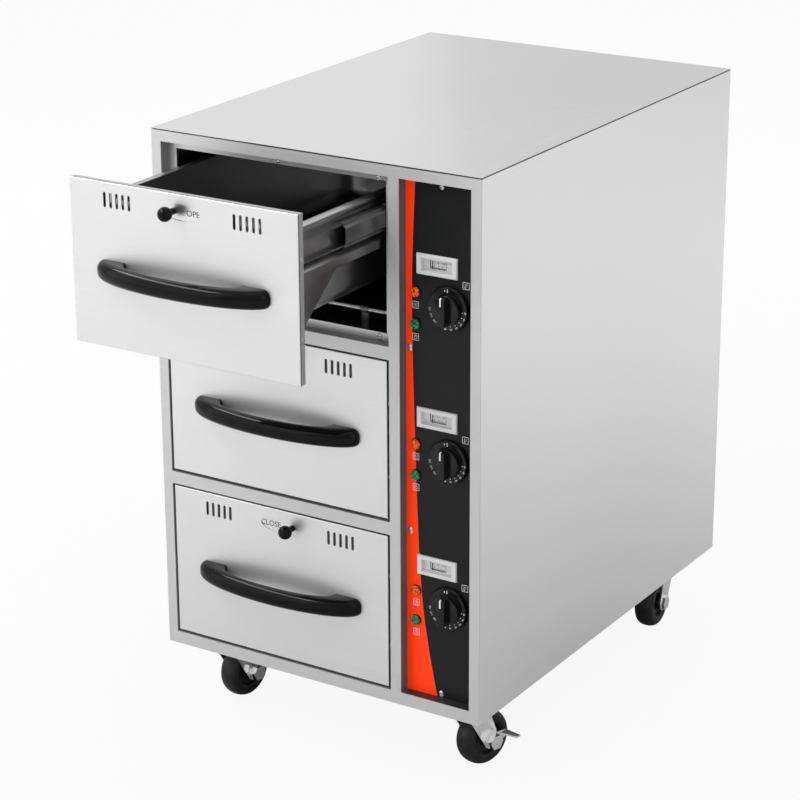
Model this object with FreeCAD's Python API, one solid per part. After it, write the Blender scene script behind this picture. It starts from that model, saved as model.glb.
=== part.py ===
import FreeCAD, Part
import math
import os

# Floor-standing warming cabinet with three drawers, a control strip and four casters.
# Millimetres. X runs to the right, Y to the back, Z up. Pieces are built with the front face of
# the cabinet at y = 0, its middle at x = 0 and the floor at z = 0. At the end they all move
# together, so that the origin is the middle of the whole object's box, on the floor.

# ---------------------------------------------------------------- driving dimensions: cabinet
CABINET_W = 480.0
CABINET_D = 670.0
CABINET_H = 706.0
CASTER_H = 100.0
SHEET = 1.2
STILE_LEFT = 14.0
STILE_MIDDLE = 15.0
STILE_RIGHT = 14.0
CONTROL_OPENING_W = 100.0
RAIL_TOP = 16.0
RAIL_MIDDLE = 17.0
RAIL_BOTTOM = 17.0
FACE_DEPTH = 16.0
FLANGE = 11.5
SEAM = 0.8
LINER_INSET = 11.0
LINER_BACK_GAP = 70.0
STOP_BORDER_X = 12.5
STOP_BORDER_Z = 10.5
CEILING_GAP = 1.0
INSULATION_GAP = 0.3
INSULATION_BACK_T = 40.0

# clearances
FIT = 0.3
SLIDE_GAP = 0.4
SHAFT_GAP = 0.05
HOLE_GAP = 0.15

# drawers, counted from the bottom: name, how far it stands out, and whether its vent is open
DRAWERS = (("bottom", 0.0, False), ("middle", 0.0, False), ("top", 185.0, True))
FRONT_GAP_SIDE = 3.5
FRONT_GAP_TOP = 2.5
FRONT_GAP_BOTTOM = 4.0
FRONT_T = 11.0
FRONT_SKIN_T = 1.0
FRONT_SKIN_RETURN = 2.6
FRONT_TRAY_INSET = 0.4
FRONT_EDGE_R = 0.9

# vents in a drawer front, and the shutter behind them
VENT_COUNT = 5
VENT_PITCH = 9.1
VENT_W = 4.0
VENT_H = 19.0
VENT_GROUP_X = 94.5
VENT_DROP = 21.5
WINDOW_HALF_W = 27.5
WINDOW_HALF_H = 10.0
SHUTTER_T = 0.8
SHUTTER_H = 31.0
SHUTTER_END = 7.0
SHUTTER_STEPS = 3.5
SHUTTER_STEM_X = 4.0
SHUTTER_STEM_R = 2.5
SHUTTER_BALL_R = 8.25
SHUTTER_BALL_OUT = 15.0
GUIDE_W = 4.0
GUIDE_LIP = 3.0
GUIDE_T = 1.0

# bow handle
HANDLE_HALF_L = 125.0
HANDLE_OUT = 38.0
HANDLE_H = 24.0
HANDLE_GAP_HALF_L = 84.0
HANDLE_GAP_OUT = 25.0
HANDLE_DROP = 108.0
HANDLE_OUTER_R = 7.5
HANDLE_INNER_R = 4.5
HANDLE_SCREW_X = 103.0
HANDLE_SCREW_R = 2.5
HANDLE_SCREW_L = 14.0

# drawer frame and pan; heights count up from the bottom of the drawer's opening
FRAME_INSET = 16.0
FRAME_BACK_GAP = 29.0
FRAME_RAIL_DROP = 76.0
FRAME_FOLD_H = 6.5
FRAME_LIP_H = 11.0
FRAME_LIP_INSET = 7.3
GUSSET_L = 92.0
GUSSET_BOTTOM = 47.0
PAN_T = 1.0
PAN_RIM_DROP = 29.0
PAN_RIM_LIP = 8.0
PAN_RIM_W = 11.0
PAN_OVERLAP = 0.7
PAN_BOTTOM = 61.0
PAN_DRAFT = 8.0
PAN_CORNER_R = 30.0
PAN_BOTTOM_R = 15.0
RIM_CORNER_R = 3.0

# telescopic slides
SLIDE_BACK_GAP = 28.0
SLIDE_Y = 22.0
SLIDE_T = 1.2
SLIDE_H = 33.5
SLIDE_DROP = 57.75
SLIDE_STEP = 3.0
SLIDE_MID_INSET = 2.1
SLIDE_MID_LIP = 7.7
SLIDE_OUTER_LIP = 12.0
SLIDE_INNER_LIP = 8.5

# heating elements
HEATER_R = 3.5
HEATER_Z = 24.0
HEATER_INSET = 17.5
HEATER_FRONT_Y = 50.0
HEATER_BACK_GAP = 80.0
HEATER_BEND_R = 12.0
HEATER_TERMINAL_Y = 300.0
HEATER_TERMINAL_PITCH = 40.0
HEATER_TAIL = 14.0
HEATER_HOLE_GAP = 0.5
HEATER_STUD_R = 1.5
CLIP_INSET = 37.0
CLIP_W = 10.0
CLIP_T = 1.5
BULB_R = 3.0
BULB_L = 90.0
BULB_Y = 80.0
BULB_Z = 45.0

# control strip; heights count from the middle of each thermometer
CONTROL_PLATE_T = 1.5
CONTROL_FIRST_Z = 193.3
CONTROL_LAST_DROP = 121.3
THERMOMETER_X = -5.5
THERMOMETER_W = 57.0
THERMOMETER_H = 26.0
THERMOMETER_RIM_T = 3.2
THERMOMETER_BODY_W = 52.0
THERMOMETER_BODY_H = 21.5
THERMOMETER_BODY_D = 14.0
DIAL_W = 44.0
DIAL_H = 16.0
DIAL_DEPTH = 6.5
DIAL_CARD_T = 1.0
DIAL_GLASS_T = 1.0
DIAL_GLASS_IN = 0.4
NEEDLE_L = 9.0
NEEDLE_W = 0.9
NEEDLE_T = 0.5
NEEDLE_GAP = 1.0
NEEDLE_PIN_R = 0.75
NEEDLE_PIN_IN = 3.0
NEEDLE_TRAVEL = 18.0
NEEDLE_REST_X = -8.0
NEEDLE_SLOT_Z = -4.5
LAMP_X = -36.3
LAMP_DROPS = (36.6, 77.4)
LAMP_RIM_R = 7.2
LAMP_RIM_T = 2.5
LAMP_BARREL_R = 5.5
LAMP_BARREL_L = 26.0
LAMP_LENS_R = 4.9
LAMP_LENS_OUT = 2.6
LAMP_LENS_IN = 4.0
KNOB_X = 11.5
KNOB_DROP = 50.3
KNOB_SKIRT_R = 28.3
KNOB_SKIRT_T = 5.0
KNOB_SKIRT_TAPER = 1.6
KNOB_BODY_R = 19.5
KNOB_BODY_T = 7.0
KNOB_GRIP_W = 11.0
KNOB_GRIP_T = 10.0
KNOB_PLATE_GAP = 0.6
KNOB_EDGE_R = 1.0
SHAFT_R = 3.0
SHAFT_L = 36.0
THERMOSTAT_W = 44.0
THERMOSTAT_D = 30.0
THERMOSTAT_BUSH_R = 5.0

# screws, inlet gland and terminal block
SCREW_HEAD_R = 3.4
SCREW_HEAD_T = 1.8
SCREW_R = 1.9
SCREW_L = 6.0
STOP_SCREW_INSET = 11.0
CONTROL_SCREW_INSET = 5.0
CONTROL_SCREW_HEIGHTS = (132.2, 372.7)
SIDE_SCREW_DROPS = (56.0, 152.0)
BACK_SCREW_INSET = 8.0
BACK_SCREW_ROWS = 4
GLAND_Z = 62.0
GLAND_BORE_R = 5.0
GLAND_THREAD_R = 8.0
GLAND_THREAD_L = 12.0
GLAND_HEX_R = 12.5
GLAND_HEX_L = 9.0
GLAND_DOME_R = 9.5
GLAND_DOME_L = 11.0
GLAND_NUT_T = 4.0
LOUVRE_W = 60.0
LOUVRE_H = 5.0
LOUVRE_PITCH = 14.0
LOUVRE_COUNT = 9
LOUVRE_Z = 420.0
TERMINAL_W = 60.0
TERMINAL_D = 22.0
TERMINAL_H = 24.0
TERMINAL_BACK_GAP = 80.0
TERMINAL_POLES = 5
TERMINAL_SCREW_R = 3.0

# casters: name, side, end, turn of the wheel about the kingpin, and whether it has a brake
CASTERS = (("front_left", -1, -1, -7.0, True), ("front_right", 1, -1, -17.0, True),
           ("rear_left", -1, 1, 176.0, False), ("rear_right", 1, 1, 185.0, False))
CASTER_INSET_X = 54.0
CASTER_INSET_Y = 62.0
CASTER_TRAIL = 27.0
CASTER_PLATE_W = 62.0
CASTER_PLATE_D = 76.0
CASTER_PLATE_T = 3.0
CASTER_PLATE_R = 8.0
CASTER_BOLT_X = 23.0
CASTER_BOLT_Y = 30.0
CASTER_BOLT_R = 3.0
CASTER_BOLT_HEAD_R = 5.5
CASTER_BOLT_HEAD_T = 4.0
CASTER_NUT_T = 5.0
KINGPIN_R = 5.0
KINGPIN_HEAD_R = 8.5
KINGPIN_HEAD_T = 3.5
WHEEL_R = 37.5
WHEEL_W = 28.0
WHEEL_SHOULDER = 5.0
WHEEL_RIM_R = 24.0
WHEEL_DISH = 6.0
HUB_R = 11.0
HUB_W = 31.0
AXLE_R = 4.0
AXLE_HEAD_R = 10.5
AXLE_HEAD_T = 5.0
AXLE_NUT_T = 8.0
FORK_T = 2.5
FORK_EYE_R = 12.0
FORK_CROWN_R = 21.0
FORK_CROWN_T = 2.5
FORK_DISH_R = 17.0
FORK_TOP_GAP = 0.4
FORK_CROWN_DROP = 13.5
PEDAL_T = 2.4
PEDAL_ARM_L = 24.0
PEDAL_ARM_R = 10.5
PEDAL_TAB_L = 26.0
PEDAL_TAB_ROOT = 24.0
PEDAL_TAB_TIP = 7.0
PEDAL_RISE = 6.0

# ---------------------------------------------------------------- worked out from the sizes above
LEFT = -CABINET_W / 2
RIGHT = CABINET_W / 2
BASE_Z = CASTER_H
TOP_Z = CASTER_H + CABINET_H
DRAWER_OPENING_W = CABINET_W - STILE_LEFT - STILE_MIDDLE - CONTROL_OPENING_W - STILE_RIGHT
OPENING_H = (CABINET_H - RAIL_TOP - RAIL_BOTTOM - 2 * RAIL_MIDDLE) / 3
DRAWER_X = LEFT + STILE_LEFT + DRAWER_OPENING_W / 2
CONTROL_X = RIGHT - STILE_RIGHT - CONTROL_OPENING_W / 2
SPLIT_X = DRAWER_X + DRAWER_OPENING_W / 2 + STILE_MIDDLE / 2
SIDE_TOP_Z = TOP_Z - SHEET - SEAM
PLATE_TOP_Z = TOP_Z - SHEET - FLANGE - FIT
CONTROL_PITCH = (CABINET_H - CONTROL_FIRST_Z - CONTROL_LAST_DROP) / 2
STOP_HALF_W = DRAWER_OPENING_W / 2 - STOP_BORDER_X
STOP_SCREW_X = STOP_HALF_W - STOP_SCREW_INSET
PANEL_Y = FACE_DEPTH + CONTROL_PLATE_T
LINER_Y = FACE_DEPTH + SHEET
LINER_HALF_W = DRAWER_OPENING_W / 2 - LINER_INSET
LINER_BACK_Y = CABINET_D - LINER_BACK_GAP
CEILING_Z = TOP_Z - RAIL_TOP + CEILING_GAP
FRONT_HALF_W = DRAWER_OPENING_W / 2 - FRONT_GAP_SIDE
FRONT_BOTTOM = FRONT_GAP_BOTTOM
FRONT_TOP = OPENING_H - FRONT_GAP_TOP
VENT_Z = FRONT_TOP - VENT_DROP
HANDLE_Z = FRONT_TOP - HANDLE_DROP
SHUTTER_TRAVEL = SHUTTER_STEPS * VENT_PITCH
SHUTTER_Y = FRONT_SKIN_T + FIT
FRAME_HALF_W = LINER_HALF_W - FRAME_INSET
FRAME_LIP_HALF_W = LINER_HALF_W - FRAME_LIP_INSET
FRAME_L = LINER_BACK_Y - FRAME_BACK_GAP - FRONT_T
FRAME_RAIL_TOP = OPENING_H - FRAME_RAIL_DROP
FRAME_FOLD = FRAME_RAIL_TOP - FRAME_FOLD_H
FRAME_LIP_BOTTOM = FRAME_FOLD - FRAME_LIP_H
PAN_RIM_TOP = OPENING_H - PAN_RIM_DROP
FRAME_TOP = PAN_RIM_TOP - PAN_T
RIM_HALF_W = FRAME_HALF_W + PAN_OVERLAP + PAN_T
SLIDE_L = LINER_BACK_Y - SLIDE_BACK_GAP - SLIDE_Y
SLIDE_Z = OPENING_H - SLIDE_DROP
SLIDE_MID_OUT = LINER_HALF_W - SLIDE_MID_INSET
HEATER_HALF_W = LINER_HALF_W - HEATER_INSET
HEATER_BACK_Y = LINER_BACK_Y - HEATER_BACK_GAP
CLIP_X = HEATER_HALF_W - CLIP_INSET
TERMINAL_Y = CABINET_D - TERMINAL_BACK_GAP
AXLE_Z = WHEEL_R
PLATE_BOTTOM_Z = CASTER_H - CASTER_PLATE_T
CROWN_Z = PLATE_BOTTOM_Z - FORK_CROWN_DROP
FORK_INNER = HUB_W / 2 + FIT

pieces = {}


# ---------------------------------------------------------------- helpers
def box(x0, x1, y0, y1, z0, z1):
    """A block given by its limits."""
    return Part.makeBox(x1 - x0, y1 - y0, z1 - z0, FreeCAD.Vector(x0, y0, z0))


def rod(radius, start, end, end_radius=None):
    """A round bar, or a cone, from one point to another."""
    start, end = FreeCAD.Vector(*start), FreeCAD.Vector(*end)
    along = end - start
    if end_radius is None:
        return Part.makeCylinder(radius, along.Length, start, along)
    return Part.makeCone(radius, end_radius, along.Length, start, along)


def place(axis, first, second, along):
    """A point from two coordinates across an axis and one along it."""
    order = {"x": (along, first, second), "y": (first, along, second), "z": (first, second, along)}
    return FreeCAD.Vector(*order[axis])


def prism(axis, points, start, end):
    """A flat outline across an axis, drawn out along it."""
    corners = [place(axis, a, b, start) for a, b in points]
    face = Part.Face(Part.makePolygon(corners + corners[:1]))
    return face.extrude(place(axis, 0, 0, end - start))


def fuse(shapes):
    """All of these joined to one solid."""
    joined = shapes[0].multiFuse(shapes[1:]) if len(shapes) > 1 else shapes[0]
    return joined.removeSplitter()


def cut(shape, tools):
    """The shape less every tool."""
    return shape.cut(Part.makeCompound(list(tools)))


def mirrored(shape, x):
    """The same shape on the other side of the plane at x."""
    return shape.mirror(FreeCAD.Vector(x, 0, 0), FreeCAD.Vector(1, 0, 0))


def moved(shape, x=0.0, y=0.0, z=0.0):
    """A copy that stands somewhere else."""
    copy = shape.copy()
    copy.translate(FreeCAD.Vector(x, y, z))
    return copy


def turned(shape, point, axis, degrees):
    """A copy turned about a line."""
    copy = shape.copy()
    copy.rotate(FreeCAD.Vector(*point), FreeCAD.Vector(*axis), degrees)
    return copy


def slot(x, z, width, height, y0, y1):
    """An upright slot with round ends, cut along Y."""
    half = (height - width) / 2
    ends = [rod(width / 2, (x, y0, z + s * half), (x, y1, z + s * half)) for s in (-1, 1)]
    return fuse([box(x - width / 2, x + width / 2, y0, y1, z - half, z + half)] + ends)


def long_slot(x, z, width, height, y0, y1):
    """A level slot with round ends, cut along Y."""
    half = (width - height) / 2
    ends = [rod(height / 2, (x + s * half, y0, z), (x + s * half, y1, z)) for s in (-1, 1)]
    return fuse([box(x - half, x + half, y0, y1, z - height / 2, z + height / 2)] + ends)


def hexagon(radius, start, end, axis, first, second):
    """A hexagonal nut or head; its radius is to the corners."""
    corners = [(first + radius * math.cos(math.pi * k / 3), second + radius * math.sin(math.pi * k / 3))
               for k in range(6)]
    return prism(axis, corners, start, end)


def rounded_block(x0, x1, y0, y1, z0, z1, radius):
    """A block whose upright edges are round."""
    block = box(x0, x1, y0, y1, z0, z1)
    upright = [e for e in block.Edges if e.BoundBox.ZLength > (z1 - z0) / 2]
    return block.makeFillet(radius, upright)


def front_screw(x, y, z):
    """A pan-head screw driven towards +Y, with its head resting on the plane at y."""
    head = rod(SCREW_HEAD_R * 0.75, (x, y - SCREW_HEAD_T, z), (x, y, z), SCREW_HEAD_R)
    return fuse([head, rod(SCREW_R, (x, y, z), (x, y + SCREW_L, z))])


def screw_hole(x, z, y0, y1):
    return rod(SCREW_R + HOLE_GAP, (x, y0, z), (x, y1, z))


def add(name, shapes):
    """Keep a piece under its node's name."""
    pieces[name] = list(shapes)


def opening_z(index):
    """The bottom of a drawer's opening in the front frame."""
    return BASE_Z + RAIL_BOTTOM + index * (OPENING_H + RAIL_MIDDLE)


def control_z(index):
    """The middle of a thermometer."""
    return BASE_Z + CONTROL_FIRST_Z + index * CONTROL_PITCH


# ---------------------------------------------------------------- casing
def frame_openings():
    """The four openings of the front frame, as (x0, x1, z0, z1)."""
    half = DRAWER_OPENING_W / 2
    drawers = [(DRAWER_X - half, DRAWER_X + half, opening_z(i), opening_z(i) + OPENING_H)
               for i in range(len(DRAWERS))]
    half = CONTROL_OPENING_W / 2
    control = (CONTROL_X - half, CONTROL_X + half, BASE_Z + RAIL_BOTTOM, TOP_Z - RAIL_TOP)
    return drawers + [control]


def make_front_frame():
    openings = frame_openings()
    face = box(LEFT, RIGHT, 0, SHEET, BASE_Z, SIDE_TOP_Z)
    collars = [box(x0 - SHEET, x1 + SHEET, 0, FACE_DEPTH, z0 - SHEET, z1 + SHEET)
               for x0, x1, z0, z1 in openings]
    holes = [box(x0, x1, -1, FACE_DEPTH + 1, z0, z1) for x0, x1, z0, z1 in openings]
    add("front_frame", [cut(fuse([face] + collars), holes)])


def make_side_panels():
    panel = box(LEFT, LEFT + SHEET, SHEET, CABINET_D, BASE_Z, SIDE_TOP_Z)
    front = box(LEFT, LEFT + FLANGE, SHEET, 2 * SHEET, BASE_Z + SHEET + FLANGE + FIT, SIDE_TOP_Z)
    back = box(LEFT, LEFT + FLANGE, CABINET_D - 2 * SHEET, CABINET_D - SHEET,
               BASE_Z + SHEET + FLANGE + FIT, SIDE_TOP_Z)
    left = fuse([panel, front, back])
    holes = [screw_hole(x, z, CABINET_D - 3 * SHEET, CABINET_D) for x, z in back_screws()]
    left = cut(left, holes)
    add("left_side_panel", [left])
    add("right_side_panel", [mirrored(left, 0)])


def make_top_panel():
    sheet = box(LEFT, RIGHT, 0, CABINET_D, TOP_Z - SHEET, TOP_Z)
    x0, y0, y1 = LEFT + SHEET, 2 * SHEET, CABINET_D - 2 * SHEET
    z0, z1 = TOP_Z - SHEET - FLANGE, TOP_Z - SHEET
    rim = box(x0, -x0, y0, y1, z0, z1)
    inside = box(x0 + SHEET, -x0 - SHEET, y0 + SHEET, y1 - SHEET, z0 - 1, z1)
    add("top_panel", [fuse([sheet, rim.cut(inside)])])


def make_base_panel():
    outer = box(LEFT + SHEET, RIGHT - SHEET, SHEET, CABINET_D - SHEET, BASE_Z, BASE_Z + SHEET + FLANGE)
    inside = box(LEFT + 2 * SHEET, RIGHT - 2 * SHEET, 2 * SHEET, CABINET_D - 2 * SHEET,
                 BASE_Z + SHEET, BASE_Z + SHEET + FLANGE + 1)
    holes = [rod(CASTER_BOLT_R + HOLE_GAP, (x, y, BASE_Z - 1), (x, y, BASE_Z + SHEET + 1))
             for x, y in caster_bolts()]
    add("base_panel", [cut(outer, [inside] + holes)])


def back_screws():
    """Where the back panel is screwed on: (x, z)."""
    low = BASE_Z + SHEET + FLANGE + FIT + BACK_SCREW_INSET
    high = PLATE_TOP_Z - BACK_SCREW_INSET
    step = (high - low) / (BACK_SCREW_ROWS - 1)
    x = RIGHT - BACK_SCREW_INSET
    return [(s * x, low + k * step) for s in (-1, 1) for k in range(BACK_SCREW_ROWS)]


def make_back_panel():
    x0 = LEFT + SHEET + FIT
    sheet = box(x0, -x0, CABINET_D - SHEET, CABINET_D, BASE_Z + FIT, SIDE_TOP_Z)
    y0, y1 = CABINET_D - SHEET - 1, CABINET_D + 1
    holes = [long_slot(CONTROL_X, BASE_Z + LOUVRE_Z + k * LOUVRE_PITCH, LOUVRE_W, LOUVRE_H, y0, y1)
             for k in range(LOUVRE_COUNT)]
    holes += [screw_hole(x, z, y0, y1) for x, z in back_screws()]
    z = BASE_Z + GLAND_Z
    holes.append(rod(GLAND_THREAD_R + HOLE_GAP, (CONTROL_X, y0, z), (CONTROL_X, y1, z)))
    add("back_panel", [cut(sheet, holes)])


def stop_screws():
    """Screws of the stop frame: (x, z)."""
    places = []
    for i in range(len(DRAWERS)):
        high = opening_z(i) + OPENING_H - STOP_BORDER_Z / 2
        low = opening_z(i) + STOP_BORDER_Z / 2
        places += [(DRAWER_X, high), (DRAWER_X + STOP_SCREW_X, high)]
        places += [(DRAWER_X - STOP_SCREW_X, low), (DRAWER_X + STOP_SCREW_X, low)]
    return places


def make_stop_frame():
    """The set-back frame that borders each compartment, behind the drawer fronts."""
    plate = box(LEFT + SHEET, SPLIT_X, FACE_DEPTH, FACE_DEPTH + SHEET, BASE_Z + SHEET + FLANGE, PLATE_TOP_Z)
    holes = [box(DRAWER_X - STOP_HALF_W, DRAWER_X + STOP_HALF_W, FACE_DEPTH - 1, FACE_DEPTH + SHEET + 1,
                 opening_z(i) + STOP_BORDER_Z, opening_z(i) + OPENING_H - STOP_BORDER_Z)
             for i in range(len(DRAWERS))]
    holes += [screw_hole(x, z, FACE_DEPTH - 1, FACE_DEPTH + SHEET + 1) for x, z in stop_screws()]
    add("stop_frame", [cut(plate, holes)])


def make_liner():
    """Compartment walls: two sides, the back, three floors and the ceiling."""
    inner, outer = LINER_HALF_W, LINER_HALF_W + SHEET
    z0, z1 = BASE_Z + SHEET, CEILING_Z + SHEET
    left = box(DRAWER_X - outer, DRAWER_X - inner, LINER_Y, LINER_BACK_Y, z0, z1)
    right = box(DRAWER_X + inner, DRAWER_X + outer, LINER_Y, LINER_BACK_Y, z0, z1)
    right = cut(right, [rod(HEATER_R + HEATER_HOLE_GAP, (DRAWER_X + inner - 1, y, z),
                            (DRAWER_X + outer + 1, y, z)) for y, z in heater_terminals()])
    back = box(DRAWER_X - outer, DRAWER_X + outer, LINER_BACK_Y, LINER_BACK_Y + SHEET, z0, z1)
    floors = [box(DRAWER_X - inner, DRAWER_X + inner, LINER_Y, LINER_BACK_Y,
                  opening_z(i) - SHEET, opening_z(i)) for i in range(len(DRAWERS))]
    ceiling = box(DRAWER_X - inner, DRAWER_X + inner, LINER_Y, LINER_BACK_Y, CEILING_Z, z1)
    add("compartment_liner", [left, right, back] + floors + [ceiling])


def make_insulation():
    """Slabs, each fixed to one wall and just clear of the rest."""
    gap, left_x = INSULATION_GAP, LEFT + SHEET
    inner, outer = LINER_HALF_W, LINER_HALF_W + SHEET
    top, low = PLATE_TOP_Z - gap, BASE_Z + SHEET + FLANGE + gap
    left = box(left_x, DRAWER_X - outer - gap, LINER_Y + gap, LINER_BACK_Y, low, top)
    back_y = LINER_BACK_Y + SHEET
    back = box(DRAWER_X - outer, DRAWER_X + outer, back_y, back_y + INSULATION_BACK_T, low, top)
    roof = box(DRAWER_X - outer, DRAWER_X + outer, LINER_Y + gap, LINER_BACK_Y,
               CEILING_Z + SHEET, TOP_Z - SHEET - gap)
    floor = box(DRAWER_X - inner + gap, DRAWER_X + inner - gap, LINER_Y + gap, LINER_BACK_Y - gap,
                BASE_Z + SHEET + CASTER_NUT_T + gap, opening_z(0) - SHEET)
    add("insulation_slabs", [left, back, roof, floor])


# ---------------------------------------------------------------- heating
def heater_terminals():
    """Where each heating element goes through the liner: (y, z)."""
    return [(HEATER_TERMINAL_Y + k * HEATER_TERMINAL_PITCH, opening_z(i) + HEATER_Z)
            for i in range(len(DRAWERS)) for k in (0, 1)]


def bent_path(points, radius):
    """Straight runs through the points, joined by arcs."""
    edges, start = [], points[0]
    for before, corner, after in zip(points, points[1:], points[2:]):
        into, out = (corner - before).normalize(), (after - corner).normalize()
        turn = into.getAngle(out)
        back = radius * math.tan(turn / 2)
        first, last = corner - into * back, corner + out * back
        middle = corner + (out - into).normalize() * (radius / math.cos(turn / 2) - radius)
        edges += [Part.LineSegment(start, first).toShape(), Part.Arc(first, middle, last).toShape()]
        start = last
    edges.append(Part.LineSegment(start, points[-1]).toShape())
    return Part.Wire(edges)


def make_heaters():
    elements = []
    near = HEATER_TERMINAL_Y
    far = HEATER_TERMINAL_Y + HEATER_TERMINAL_PITCH
    out_x = DRAWER_X + LINER_HALF_W + SHEET + HEATER_TAIL
    loop_r, loop_l = DRAWER_X + HEATER_HALF_W, DRAWER_X - HEATER_HALF_W
    corners = [(out_x, near), (loop_r, near), (loop_r, HEATER_FRONT_Y), (loop_l, HEATER_FRONT_Y),
               (loop_l, HEATER_BACK_Y), (loop_r, HEATER_BACK_Y), (loop_r, far), (out_x, far)]
    for i in range(len(DRAWERS)):
        z = opening_z(i) + HEATER_Z
        path = bent_path([FreeCAD.Vector(x, y, z) for x, y in corners], HEATER_BEND_R)
        ring = Part.Wire(Part.makeCircle(HEATER_R, FreeCAD.Vector(out_x, near, z), FreeCAD.Vector(1, 0, 0)))
        tube = path.makePipeShell([ring], True, False)
        studs = [rod(HEATER_STUD_R, (out_x, y, z), (out_x + 2 * HEATER_R, y, z)) for y in (near, far)]
        elements.append(fuse([tube] + studs))
    add("heating_elements", elements)


def make_heater_clips():
    """Clips that hold each element above its compartment floor."""
    clips = []
    for i in range(len(DRAWERS)):
        floor, z = opening_z(i), opening_z(i) + HEATER_Z
        for x in (DRAWER_X - CLIP_X, DRAWER_X + CLIP_X):
            for y in (HEATER_FRONT_Y, HEATER_BACK_Y):
                half = CLIP_W / 2
                post = box(x - half, x + half, y - CLIP_T / 2, y + CLIP_T / 2, floor, z)
                foot = box(x - half, x + half, y - CLIP_T / 2, y + CLIP_W, floor, floor + CLIP_T)
                collar = rod(HEATER_R + CLIP_T, (x - half, y, z), (x + half, y, z))
                hole = rod(HEATER_R + SHAFT_GAP, (x - half - 1, y, z), (x + half + 1, y, z))
                clips.append(fuse([post, foot, collar]).cut(hole))
    add("heater_clips", clips)


# ---------------------------------------------------------------- slides
def channel(web, lip_end, half_h, thick):
    """A plain C section: its web's outer face, how far its lips reach, and half its height."""
    way = 1 if lip_end > web else -1
    inside = web + way * thick
    return [(lip_end, half_h), (web, half_h), (web, -half_h), (lip_end, -half_h),
            (lip_end, thick - half_h), (inside, thick - half_h), (inside, half_h - thick),
            (lip_end, half_h - thick)]


def middle_section():
    """The middle member's C section, stepped in above and below its web."""
    half, step, thick = SLIDE_H / 2 - SLIDE_T - SLIDE_GAP, SLIDE_STEP, SLIDE_T
    web, lip = SLIDE_MID_OUT, SLIDE_MID_OUT - SLIDE_STEP - SLIDE_MID_LIP
    knee = half - step
    outer = [(lip, half), (web - step, half), (web - step, knee), (web, knee - step)]
    inner = [(web - thick, knee - step - thick / 2), (web - step - thick, knee - thick / 2),
             (web - step - thick, half - thick), (lip, half - thick)]
    return (outer + [(u, -v) for u, v in reversed(outer)]
            + [(u, -v) for u, v in reversed(inner)] + inner)


def rails(section, z, y0, y1):
    """The same rail on both sides of the drawer."""
    right = prism("y", [(DRAWER_X + u, z + v) for u, v in section], y0, y1)
    return [right, mirrored(right, DRAWER_X)]


def make_fixed_rails():
    section = channel(LINER_HALF_W, LINER_HALF_W - SLIDE_OUTER_LIP, SLIDE_H / 2, SLIDE_T)
    fixed = []
    for i in range(len(DRAWERS)):
        fixed += rails(section, opening_z(i) + SLIDE_Z, SLIDE_Y, SLIDE_Y + SLIDE_L)
    add("slide_fixed_rails", fixed)


def make_middle_rail(index, name, out):
    start = SLIDE_Y - out / 2
    add("slide_middle_" + name, rails(middle_section(), opening_z(index) + SLIDE_Z, start, start + SLIDE_L))


# ---------------------------------------------------------------- drawers
def vents(y0, y1, shift=0.0):
    """Both groups of vent slots of a drawer front."""
    first = -(VENT_COUNT - 1) / 2 * VENT_PITCH
    places = [DRAWER_X + side * VENT_GROUP_X + first + k * VENT_PITCH + shift
              for side in (-1, 1) for k in range(VENT_COUNT)]
    return [slot(x, VENT_Z, VENT_W, VENT_H, y0, y1) for x in places]


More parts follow.
